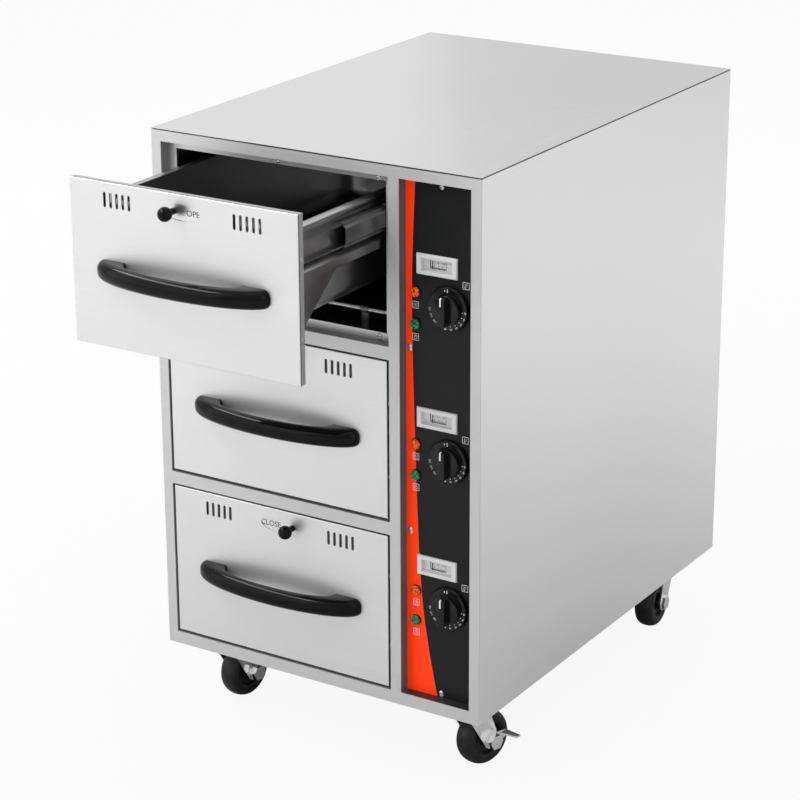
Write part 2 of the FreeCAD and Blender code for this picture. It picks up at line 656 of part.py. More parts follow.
def make_front(index, name, out):
    """Front skin, backing tray, shutter guides and screws."""
    x0, x1 = DRAWER_X - FRONT_HALF_W, DRAWER_X + FRONT_HALF_W
    t, join = FRONT_SKIN_T, FRONT_SKIN_RETURN
    skin = box(x0, x1, 0, join, FRONT_BOTTOM, FRONT_TOP)
    rim = [e for e in skin.Edges if e.BoundBox.YMax < join / 2]
    skin = skin.makeFillet(FRONT_EDGE_R, rim)
    oval = Part.Ellipse(FreeCAD.Vector(0, 0, 0), WINDOW_HALF_W, WINDOW_HALF_H).toShape()
    window = turned(Part.Face(Part.Wire(oval)), (0, 0, 0), (1, 0, 0), 90).extrude(FreeCAD.Vector(0, 4 * t, 0))
    screws_x = [DRAWER_X - HANDLE_SCREW_X, DRAWER_X + HANDLE_SCREW_X]
    holes = [rod(HANDLE_SCREW_R + HOLE_GAP, (x, -1, HANDLE_Z), (x, join, HANDLE_Z)) for x in screws_x]
    skin = cut(skin, [box(x0 + t, x1 - t, t, join + 1, FRONT_BOTTOM + t, FRONT_TOP - t),
                      moved(window, DRAWER_X, -t, VENT_Z)] + vents(-1, join) + holes)

    tray_gap = FRONT_TRAY_INSET
    tray = box(x0 + tray_gap, x1 - tray_gap, join, FRONT_T, FRONT_BOTTOM + tray_gap, FRONT_TOP - tray_gap)
    hollow = box(x0 + tray_gap + t, x1 - tray_gap - t, join - 1, FRONT_T - SHEET,
                 FRONT_BOTTOM + tray_gap + t, FRONT_TOP - tray_gap - t)
    middle_y = (join + FRONT_T) / 2
    side_holes, side_screws = [], []
    for drop in SIDE_SCREW_DROPS:
        z = FRONT_TOP - drop
        for way, edge in ((-1, x0 + tray_gap), (1, x1 - tray_gap)):
            hole = rod(SCREW_R + HOLE_GAP, (edge - 2 * t, middle_y, z), (edge + 2 * t, middle_y, z))
            side_holes.append(hole)
            head = rod(SCREW_HEAD_R, (edge, middle_y, z), (edge + way * SCREW_HEAD_T, middle_y, z),
                       SCREW_HEAD_R * 0.75)
            shank = rod(SCREW_R, (edge, middle_y, z), (edge - way * SCREW_L, middle_y, z))
            side_screws.append(fuse([head, shank]))
    tray = cut(tray, [hollow] + vents(FRONT_T - 2 * SHEET, FRONT_T + 1) + side_holes)

    guides = []
    half = shutter_half_length() + SHUTTER_TRAVEL / 2 + SHUTTER_END
    behind = SHUTTER_Y + SHUTTER_T + FIT
    for way in (-1, 1):
        edge = VENT_Z + way * (SHUTTER_H / 2 + FIT)
        web = sorted((edge, edge + way * GUIDE_W))
        lip = sorted((edge - way * GUIDE_LIP, edge + way * GUIDE_W))
        guides.append(fuse([box(DRAWER_X - half, DRAWER_X + half, t, behind + GUIDE_T, *web),
                            box(DRAWER_X - half, DRAWER_X + half, behind, behind + GUIDE_T, *lip)]))
    guides = [cut(g, vents(behind - 1, behind + GUIDE_T + 1)) for g in guides]

    bolts = []
    for x in screws_x:
        head = rod(2 * HANDLE_SCREW_R, (x, t, HANDLE_Z), (x, t + HANDLE_SCREW_R, HANDLE_Z))
        bolts.append(fuse([head, rod(HANDLE_SCREW_R, (x, t, HANDLE_Z), (x, t - HANDLE_SCREW_L, HANDLE_Z))]))
    solids = [skin, tray] + guides + side_screws + bolts
    add("drawer_front_" + name, [moved(s, 0, -out, opening_z(index)) for s in solids])


def half_ellipse(half_l, out, z):
    """Half an ellipse in front of the plane y = 0, as an edge."""
    ellipse = Part.Ellipse(FreeCAD.Vector(DRAWER_X, 0, z), half_l, out)
    return Part.ArcOfEllipse(ellipse, math.pi, 2 * math.pi).toShape()


def make_handle(index, name, out):
    """A crescent bow with two broad feet."""
    z = HANDLE_Z - HANDLE_H / 2
    outer = half_ellipse(HANDLE_HALF_L, HANDLE_OUT, z)
    inner = half_ellipse(HANDLE_GAP_HALF_L, HANDLE_GAP_OUT, z)
    feet = [Part.LineSegment(FreeCAD.Vector(DRAWER_X + s * HANDLE_GAP_HALF_L, 0, z),
                             FreeCAD.Vector(DRAWER_X + s * HANDLE_HALF_L, 0, z)).toShape() for s in (-1, 1)]
    plan = Part.Face(Part.Wire(Part.__sortEdges__([outer, inner] + feet)))
    bow = plan.extrude(FreeCAD.Vector(0, 0, HANDLE_H))
    level = [e for e in bow.Edges
             if e.BoundBox.ZLength < HANDLE_H / 2 and e.BoundBox.YLength > HANDLE_GAP_OUT / 2]
    outer_edges = [e for e in level if e.BoundBox.XLength > 2 * HANDLE_GAP_HALF_L + 1]
    inner_edges = [e for e in level if e.BoundBox.XLength < 2 * HANDLE_GAP_HALF_L + 1]
    bow = bow.makeFillet(HANDLE_OUTER_R, outer_edges)
    inner_edges = [e for e in bow.Edges if any(same_edge(e, old) for old in inner_edges)]
    bow = bow.makeFillet(HANDLE_INNER_R, inner_edges)
    holes = [rod(HANDLE_SCREW_R + HOLE_GAP, (DRAWER_X + s * HANDLE_SCREW_X, 1, HANDLE_Z),
                 (DRAWER_X + s * HANDLE_SCREW_X, -HANDLE_SCREW_L, HANDLE_Z)) for s in (-1, 1)]
    add("drawer_handle_" + name, [moved(cut(bow, holes), 0, -out, opening_z(index))])


def same_edge(first, second):
    a, b = first.BoundBox, second.BoundBox
    return abs(a.XLength - b.XLength) < 0.01 and abs(a.ZMin - b.ZMin) < 0.01 and abs(a.YMin - b.YMin) < 0.01


def make_frame(index, name, out):
    """Side rails, rear wall and gussets as one welded frame, with the slides' inner members."""
    thick, z_top = SHEET, FRAME_TOP
    wall, lip = FRAME_HALF_W, FRAME_LIP_HALF_W
    drop = FRAME_RAIL_TOP - FRAME_FOLD
    section = [(wall - thick, z_top), (wall, z_top), (wall, FRAME_RAIL_TOP), (lip, FRAME_FOLD),
               (lip, FRAME_LIP_BOTTOM), (lip - thick, FRAME_LIP_BOTTOM),
               (lip - thick, FRAME_FOLD - thick / 2), (wall - thick, FRAME_FOLD + drop - thick / 2)]
    y0, y1 = FRONT_T, FRONT_T + FRAME_L
    side = prism("y", [(DRAWER_X + u, v) for u, v in section], y0, y1)
    gusset_top = FRAME_FOLD - 1.5 * thick
    gusset = prism("x", [(y0, gusset_top), (y0 + GUSSET_L, gusset_top), (y0 + GUSSET_L, FRAME_LIP_BOTTOM),
                         (y0, GUSSET_BOTTOM)], DRAWER_X + lip - 2 * thick, DRAWER_X + lip - thick)
    rear = box(DRAWER_X - wall, DRAWER_X + wall, y1 - thick, y1, FRAME_RAIL_TOP, z_top)
    halves = [side, gusset, mirrored(side, DRAWER_X), mirrored(gusset, DRAWER_X)]
    notch = box(DRAWER_X - lip, DRAWER_X + lip, y0 - 1, y0 + FIT + PAN_T + PAN_OVERLAP,
                z_top + PAN_T - PAN_RIM_LIP - FIT, z_top + 1)
    frame = cut(fuse(halves + [rear]), [notch])
    half_h = SLIDE_H / 2 - 2 * SLIDE_T - 2 * SLIDE_GAP
    section = channel(wall, wall + SLIDE_INNER_LIP, half_h, SLIDE_T)
    inner = rails(section, SLIDE_Z, SLIDE_Y, SLIDE_Y + SLIDE_L - 2 * SHEET)
    add("drawer_frame_" + name, [moved(s, 0, -out, opening_z(index)) for s in [frame] + inner])


def tub(half_w, y0, y1, draft, z0, z1, corner_r, bottom_r):
    """A tapered block with round corners, as the outside or the inside of a pan."""
    wires = []
    for inset, z in ((draft, z0), (0, z1)):
        block = rounded_block(DRAWER_X - half_w + inset, DRAWER_X + half_w - inset, y0 + inset, y1 - inset,
                              z, z + 1, corner_r)
        floor = [f for f in block.Faces if abs(f.BoundBox.ZMax - z) < 0.001 and f.BoundBox.ZLength < 0.001][0]
        wires.append(floor.OuterWire)
    body = Part.makeLoft(wires, True, True)
    bottom = [e for e in body.Edges if e.BoundBox.ZMax < z0 + 0.01]
    return body.makeFillet(bottom_r, bottom)


def make_pan(index, name, out):
    """A deep lift-out pan; its turned-down rim hangs over the frame."""
    t, rim, z1 = PAN_T, PAN_RIM_W, PAN_RIM_TOP
    y0, y1 = FRONT_T + FIT, FRONT_T + FRAME_L + PAN_OVERLAP + t
    x0, x1 = DRAWER_X - RIM_HALF_W, DRAWER_X + RIM_HALF_W
    brim = rounded_block(x0, x1, y0, y1, z1 - PAN_RIM_LIP, z1, RIM_CORNER_R)
    under = rounded_block(x0 + t, x1 - t, y0 + t, y1 - t, z1 - PAN_RIM_LIP - 1, z1 - t, RIM_CORNER_R - t)
    half = RIM_HALF_W - rim
    outside = tub(half, y0 + rim, y1 - rim, PAN_DRAFT, PAN_BOTTOM, z1 - t / 2, PAN_CORNER_R, PAN_BOTTOM_R)
    hollow = tub(half - t, y0 + rim + t, y1 - rim - t, PAN_DRAFT, PAN_BOTTOM + t, z1 + 1,
                 PAN_CORNER_R - t, PAN_BOTTOM_R - t)
    pan = fuse([brim.cut(under), outside]).cut(hollow)
    add("drawer_pan_" + name, [moved(pan, 0, -out, opening_z(index))])


def shutter_half_length():
    """Half the length of the shutter plate: it covers both vent groups."""
    return VENT_GROUP_X + (VENT_COUNT - 1) / 2 * VENT_PITCH + VENT_W / 2 + SHUTTER_END


def make_shutter(index, name, out, is_open):
    """The sliding vent plate, and the ball knob that moves it."""
    shift = -SHUTTER_TRAVEL / 2 if is_open else SHUTTER_TRAVEL / 2
    half = shutter_half_length()
    middle = DRAWER_X + shift
    y0, y1 = SHUTTER_Y, SHUTTER_Y + SHUTTER_T
    plate = box(middle - half, middle + half, y0, y1, VENT_Z - SHUTTER_H / 2, VENT_Z + SHUTTER_H / 2)
    plate = cut(plate, vents(y0 - 1, y1 + 1, shift + SHUTTER_TRAVEL / 2))
    x = middle + SHUTTER_STEM_X
    stem = rod(SHUTTER_STEM_R, (x, y0, VENT_Z), (x, -SHUTTER_BALL_OUT, VENT_Z))
    ball = Part.makeSphere(SHUTTER_BALL_R, FreeCAD.Vector(x, -SHUTTER_BALL_OUT, VENT_Z))
    add("vent_shutter_" + name, [moved(plate, 0, -out, opening_z(index))])
    add("vent_knob_" + name, [moved(fuse([stem, ball]), 0, -out, opening_z(index))])


# ---------------------------------------------------------------- controls
def control_screws():
    """Screws of the control plate: (x, z)."""
    half = CONTROL_OPENING_W / 2 - CONTROL_SCREW_INSET
    inset = CONTROL_SCREW_INSET + RAIL_BOTTOM
    places = [(CONTROL_X, BASE_Z + inset), (CONTROL_X, TOP_Z - RAIL_TOP - CONTROL_SCREW_INSET)]
    return places + [(CONTROL_X + s * half, BASE_Z + RAIL_BOTTOM + z + RAIL_TOP + OPENING_H / 3)
                     for s in (-1, 1) for z in CONTROL_SCREW_HEIGHTS]


def make_control_plate():
    plate = box(SPLIT_X + FIT, RIGHT - SHEET - FIT, FACE_DEPTH, PANEL_Y, BASE_Z + SHEET + FLANGE, PLATE_TOP_Z)
    y0, y1 = FACE_DEPTH - 1, PANEL_Y + 1
    holes = [screw_hole(x, z, y0, y1) for x, z in control_screws()]
    for i in range(len(DRAWERS)):
        x, z = CONTROL_X + THERMOMETER_X, control_z(i)
        half_w, half_h = THERMOMETER_BODY_W / 2 + FIT, THERMOMETER_BODY_H / 2 + FIT
        holes.append(box(x - half_w, x + half_w, y0, y1, z - half_h, z + half_h))
        for drop in LAMP_DROPS:
            holes.append(rod(LAMP_BARREL_R + HOLE_GAP, (CONTROL_X + LAMP_X, y0, z - drop),
                             (CONTROL_X + LAMP_X, y1, z - drop)))
        holes.append(rod(THERMOSTAT_BUSH_R + HOLE_GAP, (CONTROL_X + KNOB_X, y0, z - KNOB_DROP),
                         (CONTROL_X + KNOB_X, y1, z - KNOB_DROP)))
    add("control_plate", [cut(plate, holes)])


def make_thermometers():
    bezels, windows, cards = [], [], []
    x = CONTROL_X + THERMOMETER_X
    front = FACE_DEPTH - THERMOMETER_RIM_T
    for i in range(len(DRAWERS)):
        z = control_z(i)
        rim = box(x - THERMOMETER_W / 2, x + THERMOMETER_W / 2, front, FACE_DEPTH,
                  z - THERMOMETER_H / 2, z + THERMOMETER_H / 2)
        edges = [e for e in rim.Edges if e.BoundBox.YMax < front + 0.01]
        rim = rim.makeChamfer(THERMOMETER_RIM_T / 3, edges)
        body = box(x - THERMOMETER_BODY_W / 2, x + THERMOMETER_BODY_W / 2, FACE_DEPTH,
                   FACE_DEPTH + THERMOMETER_BODY_D, z - THERMOMETER_BODY_H / 2, z + THERMOMETER_BODY_H / 2)
        back = front + DIAL_DEPTH
        w, h = DIAL_W / 2, DIAL_H / 2
        cavity = box(x - w, x + w, front - 1, back, z - h, z + h)
        middle = x + NEEDLE_REST_X + NEEDLE_TRAVEL / 2
        width = NEEDLE_TRAVEL + 2 * (NEEDLE_PIN_R + FIT)
        height = 2 * (NEEDLE_PIN_R + SHAFT_GAP)
        pin_slot = long_slot(middle, z + NEEDLE_SLOT_Z, width, height, front, back + NEEDLE_PIN_IN + 1)
        bezels.append(cut(fuse([rim, body]), [cavity, pin_slot]))
        glass_y = front + DIAL_GLASS_IN
        windows.append(box(x - w, x + w, glass_y, glass_y + DIAL_GLASS_T, z - h, z + h))
        cards.append(box(x - w, x + w, back - DIAL_CARD_T, back, z - h, z + h).cut(pin_slot))
        make_needle(i, x + NEEDLE_REST_X, back - DIAL_CARD_T, z + NEEDLE_SLOT_Z)
    add("thermometer_bezels", bezels)
    add("thermometer_windows", windows)
    add("thermometer_scales", cards)


def make_needle(index, x, card_y, z):
    """An upright needle; its pin runs along a slot in the scale card and the housing."""
    y1 = card_y - NEEDLE_GAP
    needle = box(x - NEEDLE_W / 2, x + NEEDLE_W / 2, y1 - NEEDLE_T, y1, z - NEEDLE_PIN_R, z + NEEDLE_L)
    pin = rod(NEEDLE_PIN_R, (x, y1 - NEEDLE_T, z), (x, card_y + DIAL_CARD_T + NEEDLE_PIN_IN, z))
    add("thermometer_needle_" + DRAWERS[index][0], [fuse([needle, pin])])


def make_lamps():
    bodies = []
    lenses = ([], [])
    x = CONTROL_X + LAMP_X
    y = FACE_DEPTH
    for i in range(len(DRAWERS)):
        for drop, kept in zip(LAMP_DROPS, lenses):
            z = control_z(i) - drop
            rim = rod(LAMP_RIM_R - LAMP_RIM_T / 3, (x, y - LAMP_RIM_T, z), (x, y, z), LAMP_RIM_R)
            barrel = rod(LAMP_BARREL_R, (x, y, z), (x, y + LAMP_BARREL_L, z))
            well = rod(LAMP_LENS_R + SHAFT_GAP, (x, y - LAMP_RIM_T - 1, z), (x, y + LAMP_LENS_IN, z))
            bodies.append(fuse([rim, barrel]).cut(well))
            face_y = y - LAMP_RIM_T
            root = rod(LAMP_LENS_R, (x, face_y, z), (x, y + LAMP_LENS_IN, z))
            radius = (LAMP_LENS_R ** 2 + LAMP_LENS_OUT ** 2) / (2 * LAMP_LENS_OUT)
            ball = Part.makeSphere(radius, FreeCAD.Vector(x, face_y - LAMP_LENS_OUT + radius, z))
            ball = ball.common(box(x - radius, x + radius, face_y - radius, face_y, z - radius, z + radius))
            kept.append(fuse([root, ball]))
    add("lamp_bodies", bodies)
    add("amber_lamp_lenses", lenses[0])
    add("green_lamp_lenses", lenses[1])


def make_thermostats():
    """Thermostats behind the plate, and their sensing bulbs on the compartment walls."""
    x = CONTROL_X + KNOB_X
    half = THERMOSTAT_W / 2
    solids = []
    for i in range(len(DRAWERS)):
        z = control_z(i) - KNOB_DROP
        body = rounded_x_block(x, PANEL_Y, z, half)
        bush = rod(THERMOSTAT_BUSH_R, (x, FACE_DEPTH, z), (x, PANEL_Y, z))
        bore = rod(SHAFT_R + SHAFT_GAP, (x, FACE_DEPTH - 1, z), (x, PANEL_Y + THERMOSTAT_D - SHEET, z))
        solids.append(fuse([body, bush]).cut(bore))
        wall = DRAWER_X + LINER_HALF_W - BULB_R
        bulb_z = opening_z(i) + BULB_Z
        solids.append(rod(BULB_R, (wall, BULB_Y, bulb_z), (wall, BULB_Y + BULB_L, bulb_z)))
    add("thermostats", solids)


def rounded_x_block(x, y, z, half):
    """A thermostat's housing, square from the front with clipped corners."""
    clip = half / 4
    outline = [(x - half + clip, z - half), (x + half - clip, z - half), (x + half, z - half + clip),
               (x + half, z + half - clip), (x + half - clip, z + half), (x - half + clip, z + half),
               (x - half, z + half - clip), (x - half, z - half + clip)]
    return prism("y", outline, y, y + THERMOSTAT_D)


def make_knob(index, name):
    """Control knob with a tapered skirt, a round body and a grip bar, on its own shaft."""
    x, z = CONTROL_X + KNOB_X, control_z(index) - KNOB_DROP
    back = FACE_DEPTH - KNOB_PLATE_GAP
    skirt_y = back - KNOB_SKIRT_T
    body_y = skirt_y - KNOB_BODY_T
    grip_y = body_y - KNOB_GRIP_T
    skirt = rod(KNOB_SKIRT_R, (x, back, z), (x, skirt_y, z), KNOB_SKIRT_R - KNOB_SKIRT_TAPER)
    body = rod(KNOB_BODY_R, (x, skirt_y, z), (x, body_y, z), KNOB_BODY_R - KNOB_EDGE_R)
    grip = box(x - KNOB_GRIP_W / 2, x + KNOB_GRIP_W / 2, grip_y, skirt_y, z - KNOB_BODY_R, z + KNOB_BODY_R)
    grip = grip.common(rod(KNOB_BODY_R - KNOB_EDGE_R, (x, skirt_y, z), (x, grip_y, z)))
    top = [e for e in grip.Edges if e.BoundBox.YMax < grip_y + 0.01]
    grip = grip.makeFillet(2 * KNOB_EDGE_R, top)
    socket = rod(SHAFT_R + SHAFT_GAP, (x, back + 1, z), (x, body_y, z))
    knob = fuse([skirt, body, grip]).cut(socket)
    shaft = rod(SHAFT_R, (x, body_y, z), (x, body_y + SHAFT_L, z))
    add("thermostat_knob_" + name, [knob, shaft])


# ---------------------------------------------------------------- screws, gland, terminals
def make_screws():
    screws = [front_screw(x, FACE_DEPTH, z) for x, z in stop_screws() + control_screws()]
    for x, z in back_screws():
        screws.append(turned(front_screw(x, -CABINET_D, z), (x, 0, z), (0, 0, 1), 180))
    add("panel_screws", screws)


def make_power_inlet():
    """Cable gland through the back panel, its nut, and the terminal block inside."""
    x, z = CONTROL_X, BASE_Z + GLAND_Z
    inner, outer = CABINET_D - SHEET, CABINET_D
    thread = rod(GLAND_THREAD_R, (x, inner - GLAND_THREAD_L, z), (x, outer, z))
    hexa = hexagon(GLAND_HEX_R, outer, outer + GLAND_HEX_L, "y", x, z)
    dome_y = outer + GLAND_HEX_L
    dome = rod(GLAND_DOME_R, (x, dome_y, z), (x, dome_y + GLAND_DOME_L, z), GLAND_DOME_R - 2)
    bore = rod(GLAND_BORE_R, (x, inner - GLAND_THREAD_L - 1, z), (x, dome_y + GLAND_DOME_L + 1, z))
    gland = fuse([thread, hexa, dome]).cut(bore)
    nut = hexagon(GLAND_HEX_R, inner - GLAND_NUT_T, inner, "y", x, z)
    nut = nut.cut(rod(GLAND_THREAD_R + SHAFT_GAP, (x, inner - GLAND_NUT_T - 1, z), (x, inner + 1, z)))
    low = BASE_Z + SHEET
    block = box(x - TERMINAL_W / 2, x + TERMINAL_W / 2, TERMINAL_Y, TERMINAL_Y + TERMINAL_D,
                low, low + TERMINAL_H)
    y = TERMINAL_Y + TERMINAL_D / 2
    pitch = TERMINAL_W / TERMINAL_POLES
    across = [x + (k - (TERMINAL_POLES - 1) / 2) * pitch for k in range(TERMINAL_POLES)]
    well_z = low + TERMINAL_H / 2
    wells = [rod(TERMINAL_SCREW_R, (a, y, well_z), (a, y, low + TERMINAL_H + 1)) for a in across]
    add("power_inlet", [gland, nut, cut(block, wells)])


# ---------------------------------------------------------------- casters
def kingpin(side, end):
    """Where a caster's kingpin stands: (x, y)."""
    y = CASTER_INSET_Y if end < 0 else CABINET_D - CASTER_INSET_Y
    return side * (CABINET_W / 2 - CASTER_INSET_X), y


def caster_bolts():
    """All caster bolts: (x, y)."""
    places = []
    for _, side, end, _, _ in CASTERS:
        x, y = kingpin(side, end)
        places += [(x + a * CASTER_BOLT_X, y + b * CASTER_BOLT_Y) for a in (-1, 1) for b in (-1, 1)]
    return places


def make_caster_plates():
    solids = []
    low, half_w, half_d = PLATE_BOTTOM_Z, CASTER_PLATE_W / 2, CASTER_PLATE_D / 2
    bolts = [rod(CASTER_BOLT_R + HOLE_GAP, (x, y, low - 1), (x, y, CASTER_H + 1)) for x, y in caster_bolts()]
    for _, side, end, _, _ in CASTERS:
        x, y = kingpin(side, end)
        plate = rounded_block(x - half_w, x + half_w, y - half_d, y + half_d, low, CASTER_H, CASTER_PLATE_R)
        foot = CROWN_Z - FIT
        pin = rod(KINGPIN_R, (x, y, foot), (x, y, low))
        head = rod(KINGPIN_HEAD_R * 0.8, (x, y, foot - KINGPIN_HEAD_T), (x, y, foot), KINGPIN_HEAD_R)
        solids.append(cut(fuse([plate, pin, head]), bolts))
    for x, y in caster_bolts():
        head = hexagon(CASTER_BOLT_HEAD_R, low - CASTER_BOLT_HEAD_T, low, "z", x, y)
        top = CASTER_H + SHEET
        shank = rod(CASTER_BOLT_R, (x, y, low), (x, y, top + CASTER_NUT_T))
        nut = hexagon(CASTER_BOLT_HEAD_R, top, top + CASTER_NUT_T, "z", x, y)
        solids.append(fuse([head, shank, nut]))
    add("caster_plates", solids)


def make_fork(name, braked):
    """Stamped fork with its dished crown, and the axle bolt and nut."""
    bottom, top = CROWN_Z, PLATE_BOTTOM_Z - FORK_TOP_GAP
    outer = FORK_INNER + FORK_T
    crown = rod(FORK_CROWN_R, (0, 0, bottom), (0, 0, bottom + FORK_CROWN_T))
    crown = fuse([crown, box(-outer, outer, -FORK_DISH_R, FORK_CROWN_R, bottom, bottom + FORK_CROWN_T)])
    dish = rod(FORK_CROWN_R, (0, 0, bottom + FORK_CROWN_T), (0, 0, top), FORK_DISH_R)
    leg = prism("x", fork_leg_outline(bottom + FORK_CROWN_T), FORK_INNER, outer)
    eye = rod(FORK_EYE_R, (FORK_INNER, CASTER_TRAIL, AXLE_Z), (outer, CASTER_TRAIL, AXLE_Z))
    leg = fuse([leg, eye])
    pin_hole = rod(KINGPIN_R + SHAFT_GAP, (0, 0, bottom - 1), (0, 0, top + 1))
    fork = fuse([crown, dish, leg, mirrored(leg, 0)]).cut(pin_hole)
    nut_x = outer + (PEDAL_T + 2 * FIT if braked else 0)
    bolt = rod(AXLE_R, (-outer, CASTER_TRAIL, AXLE_Z), (nut_x + AXLE_NUT_T, CASTER_TRAIL, AXLE_Z))
    head = hexagon(AXLE_HEAD_R, -outer - AXLE_HEAD_T, -outer, "x", CASTER_TRAIL, AXLE_Z)
    nut = hexagon(AXLE_HEAD_R, nut_x, nut_x + AXLE_NUT_T, "x", CASTER_TRAIL, AXLE_Z)
    eye_hole = rod(AXLE_R + HOLE_GAP, (-outer - 1, CASTER_TRAIL, AXLE_Z), (outer + 1, CASTER_TRAIL, AXLE_Z))
    return [fork.cut(eye_hole), fuse([bolt, head, nut])]


def fork_leg_outline(top):
    """Side view of a fork leg, from the crown down to the axle's eye: (y, z)."""
    front, back = -FORK_DISH_R, FORK_CROWN_R
    side = FORK_EYE_R * math.cos(math.radians(25))
    rise = FORK_EYE_R * math.sin(math.radians(25))
    return [(front, top), (back, top), (CASTER_TRAIL + side, AXLE_Z + rise),
            (CASTER_TRAIL - side, AXLE_Z - rise)]


def make_wheel():
    """Rubber tyre with round shoulders on a dished wheel centre, turned about the axle."""
    half, shoulder = WHEEL_W / 2, WHEEL_SHOULDER
    hub_half = HUB_W / 2
    bore = AXLE_R + SHAFT_GAP
    slope = WHEEL_RIM_R - 2 * SHEET
    tyre = [(half - shoulder, WHEEL_R), (half, WHEEL_R - shoulder), (half, WHEEL_RIM_R)]
    web = half - WHEEL_DISH
    side = tyre + [(web, slope), (web, HUB_R + SHEET), (hub_half, HUB_R), (hub_half, bore)]
    corners = [FreeCAD.Vector(a, 0, r) for a, r in side]
    corners += [FreeCAD.Vector(-a, 0, r) for a, r in reversed(side)]
    shoulder_r = shoulder * (1 - math.sqrt(0.5))
    mid_right = FreeCAD.Vector(half - shoulder_r, 0, WHEEL_R - shoulder_r)
    mid_left = FreeCAD.Vector(shoulder_r - half, 0, WHEEL_R - shoulder_r)
    edges = [Part.Arc(corners[0], mid_right, corners[1]).toShape()]
    edges += [Part.LineSegment(a, b).toShape() for a, b in zip(corners[1:-2], corners[2:-1])]
    edges += [Part.Arc(corners[-2], mid_left, corners[-1]).toShape(),
              Part.LineSegment(corners[-1], corners[0]).toShape()]
    wheel = Part.Face(Part.Wire(edges)).revolve(FreeCAD.Vector(0, 0, 0), FreeCAD.Vector(1, 0, 0), 360)
    return moved(wheel, 0, CASTER_TRAIL, AXLE_Z)


def make_pedal():
    """Side brake lever: a ring on the axle bolt, an arm, and a tapered foot tab bent outwards."""
    x0 = FORK_INNER + FORK_T + FIT
    x1 = x0 + PEDAL_T
    y, z = CASTER_TRAIL, AXLE_Z
    ring = rod(PEDAL_ARM_R, (x0, y, z), (x1, y, z))
    arm = prism("x", [(y, z - PEDAL_ARM_R), (y + PEDAL_ARM_L, z), (y + PEDAL_ARM_L, z + PEDAL_RISE + PEDAL_T),
                      (y, z + PEDAL_ARM_R)], x0, x1)
    end = y + PEDAL_ARM_L
    middle = end - PEDAL_TAB_ROOT / 2
    tab = prism("z", [(x0, end), (x0, end - PEDAL_TAB_ROOT + PEDAL_ARM_R),
                      (x0 + PEDAL_TAB_L, middle - PEDAL_TAB_TIP / 2 + PEDAL_ARM_R),
                      (x0 + PEDAL_TAB_L, middle + PEDAL_TAB_TIP / 2 + PEDAL_ARM_R)],
                z + PEDAL_RISE, z + PEDAL_RISE + PEDAL_T)
    hole = rod(AXLE_R + SHAFT_GAP, (x0 - 1, y, z), (x1 + 1, y, z))
    nut_room = rod(AXLE_HEAD_R + FIT, (x1, y, z), (x1 + AXLE_NUT_T + PEDAL_T, y, z))
    return fuse([ring, arm, tab.cut(nut_room)]).cut(hole)


def make_casters():
    for name, side, end, turn, braked in CASTERS:
        x, y = kingpin(side, end)
        built = {"caster_fork_": make_fork(name, braked), "caster_wheel_": [make_wheel()]}
        if braked:
            built["brake_pedal_"] = [make_pedal()]
        for prefix, solids in built.items():
            add(prefix + name, [moved(turned(s, (0, 0, 0), (0, 0, 1), turn), x, y) for s in solids])


# ---------------------------------------------------------------- build and write
def main():
    make_front_frame()
    make_side_panels()
    make_top_panel()
    make_base_panel()
    make_back_panel()
    make_stop_frame()
    make_liner()
    make_insulation()
    make_heaters()
    make_heater_clips()
    make_fixed_rails()
    for index, (name, out, is_open) in enumerate(DRAWERS):
        make_front(index, name, out)
        make_handle(index, name, out)
        make_frame(index, name, out)
        make_pan(index, name, out)
        make_middle_rail(index, name, out)
        make_shutter(index, name, out, is_open)
        make_knob(index, name)
    make_control_plate()
    make_thermometers()
    make_lamps()
    make_thermostats()
    make_screws()
    make_power_inlet()
    make_caster_plates()
    make_casters()

    every = Part.makeCompound([s for solids in pieces.values() for s in solids])
    room = every.optimalBoundingBox(False, False)
    middle = FreeCAD.Vector((room.XMin + room.XMax) / 2, (room.YMin + room.YMax) / 2, 0)
    print("moved by", -middle.x, -middle.y, "size", room.XLength, room.YLength, room.ZMax, "low", room.ZMin)
    os.makedirs("parts", exist_ok=True)
    for name, solids in pieces.items():
        for solid in solids:
            solid.translate(-middle)
        shape = solids[0] if len(solids) == 1 else Part.makeCompound(solids)
        if not shape.isValid() or len(shape.Solids) != len(solids):
            print("CHECK", name, shape.isValid(), len(shape.Solids), len(solids))
        shape.exportStep(os.path.join("parts", name + ".step"))
    print(len(pieces), "pieces,", sum(len(s) for s in pieces.values()), "solids")


main()
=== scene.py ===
# %% [markdown]
# # A steel warming cabinet with drawers, step by step
# The cabinet's sheet metal, slides, heaters and casters come as a ready frame of solids that already
# has the right sizes. This lesson gives each of them its finish and models anew what a plain solid
# shows badly: round, glossy or printed things. First the frame is loaded and its size noted.

# %% Load the frame
import bpy
import math
from mathutils import Matrix, Vector


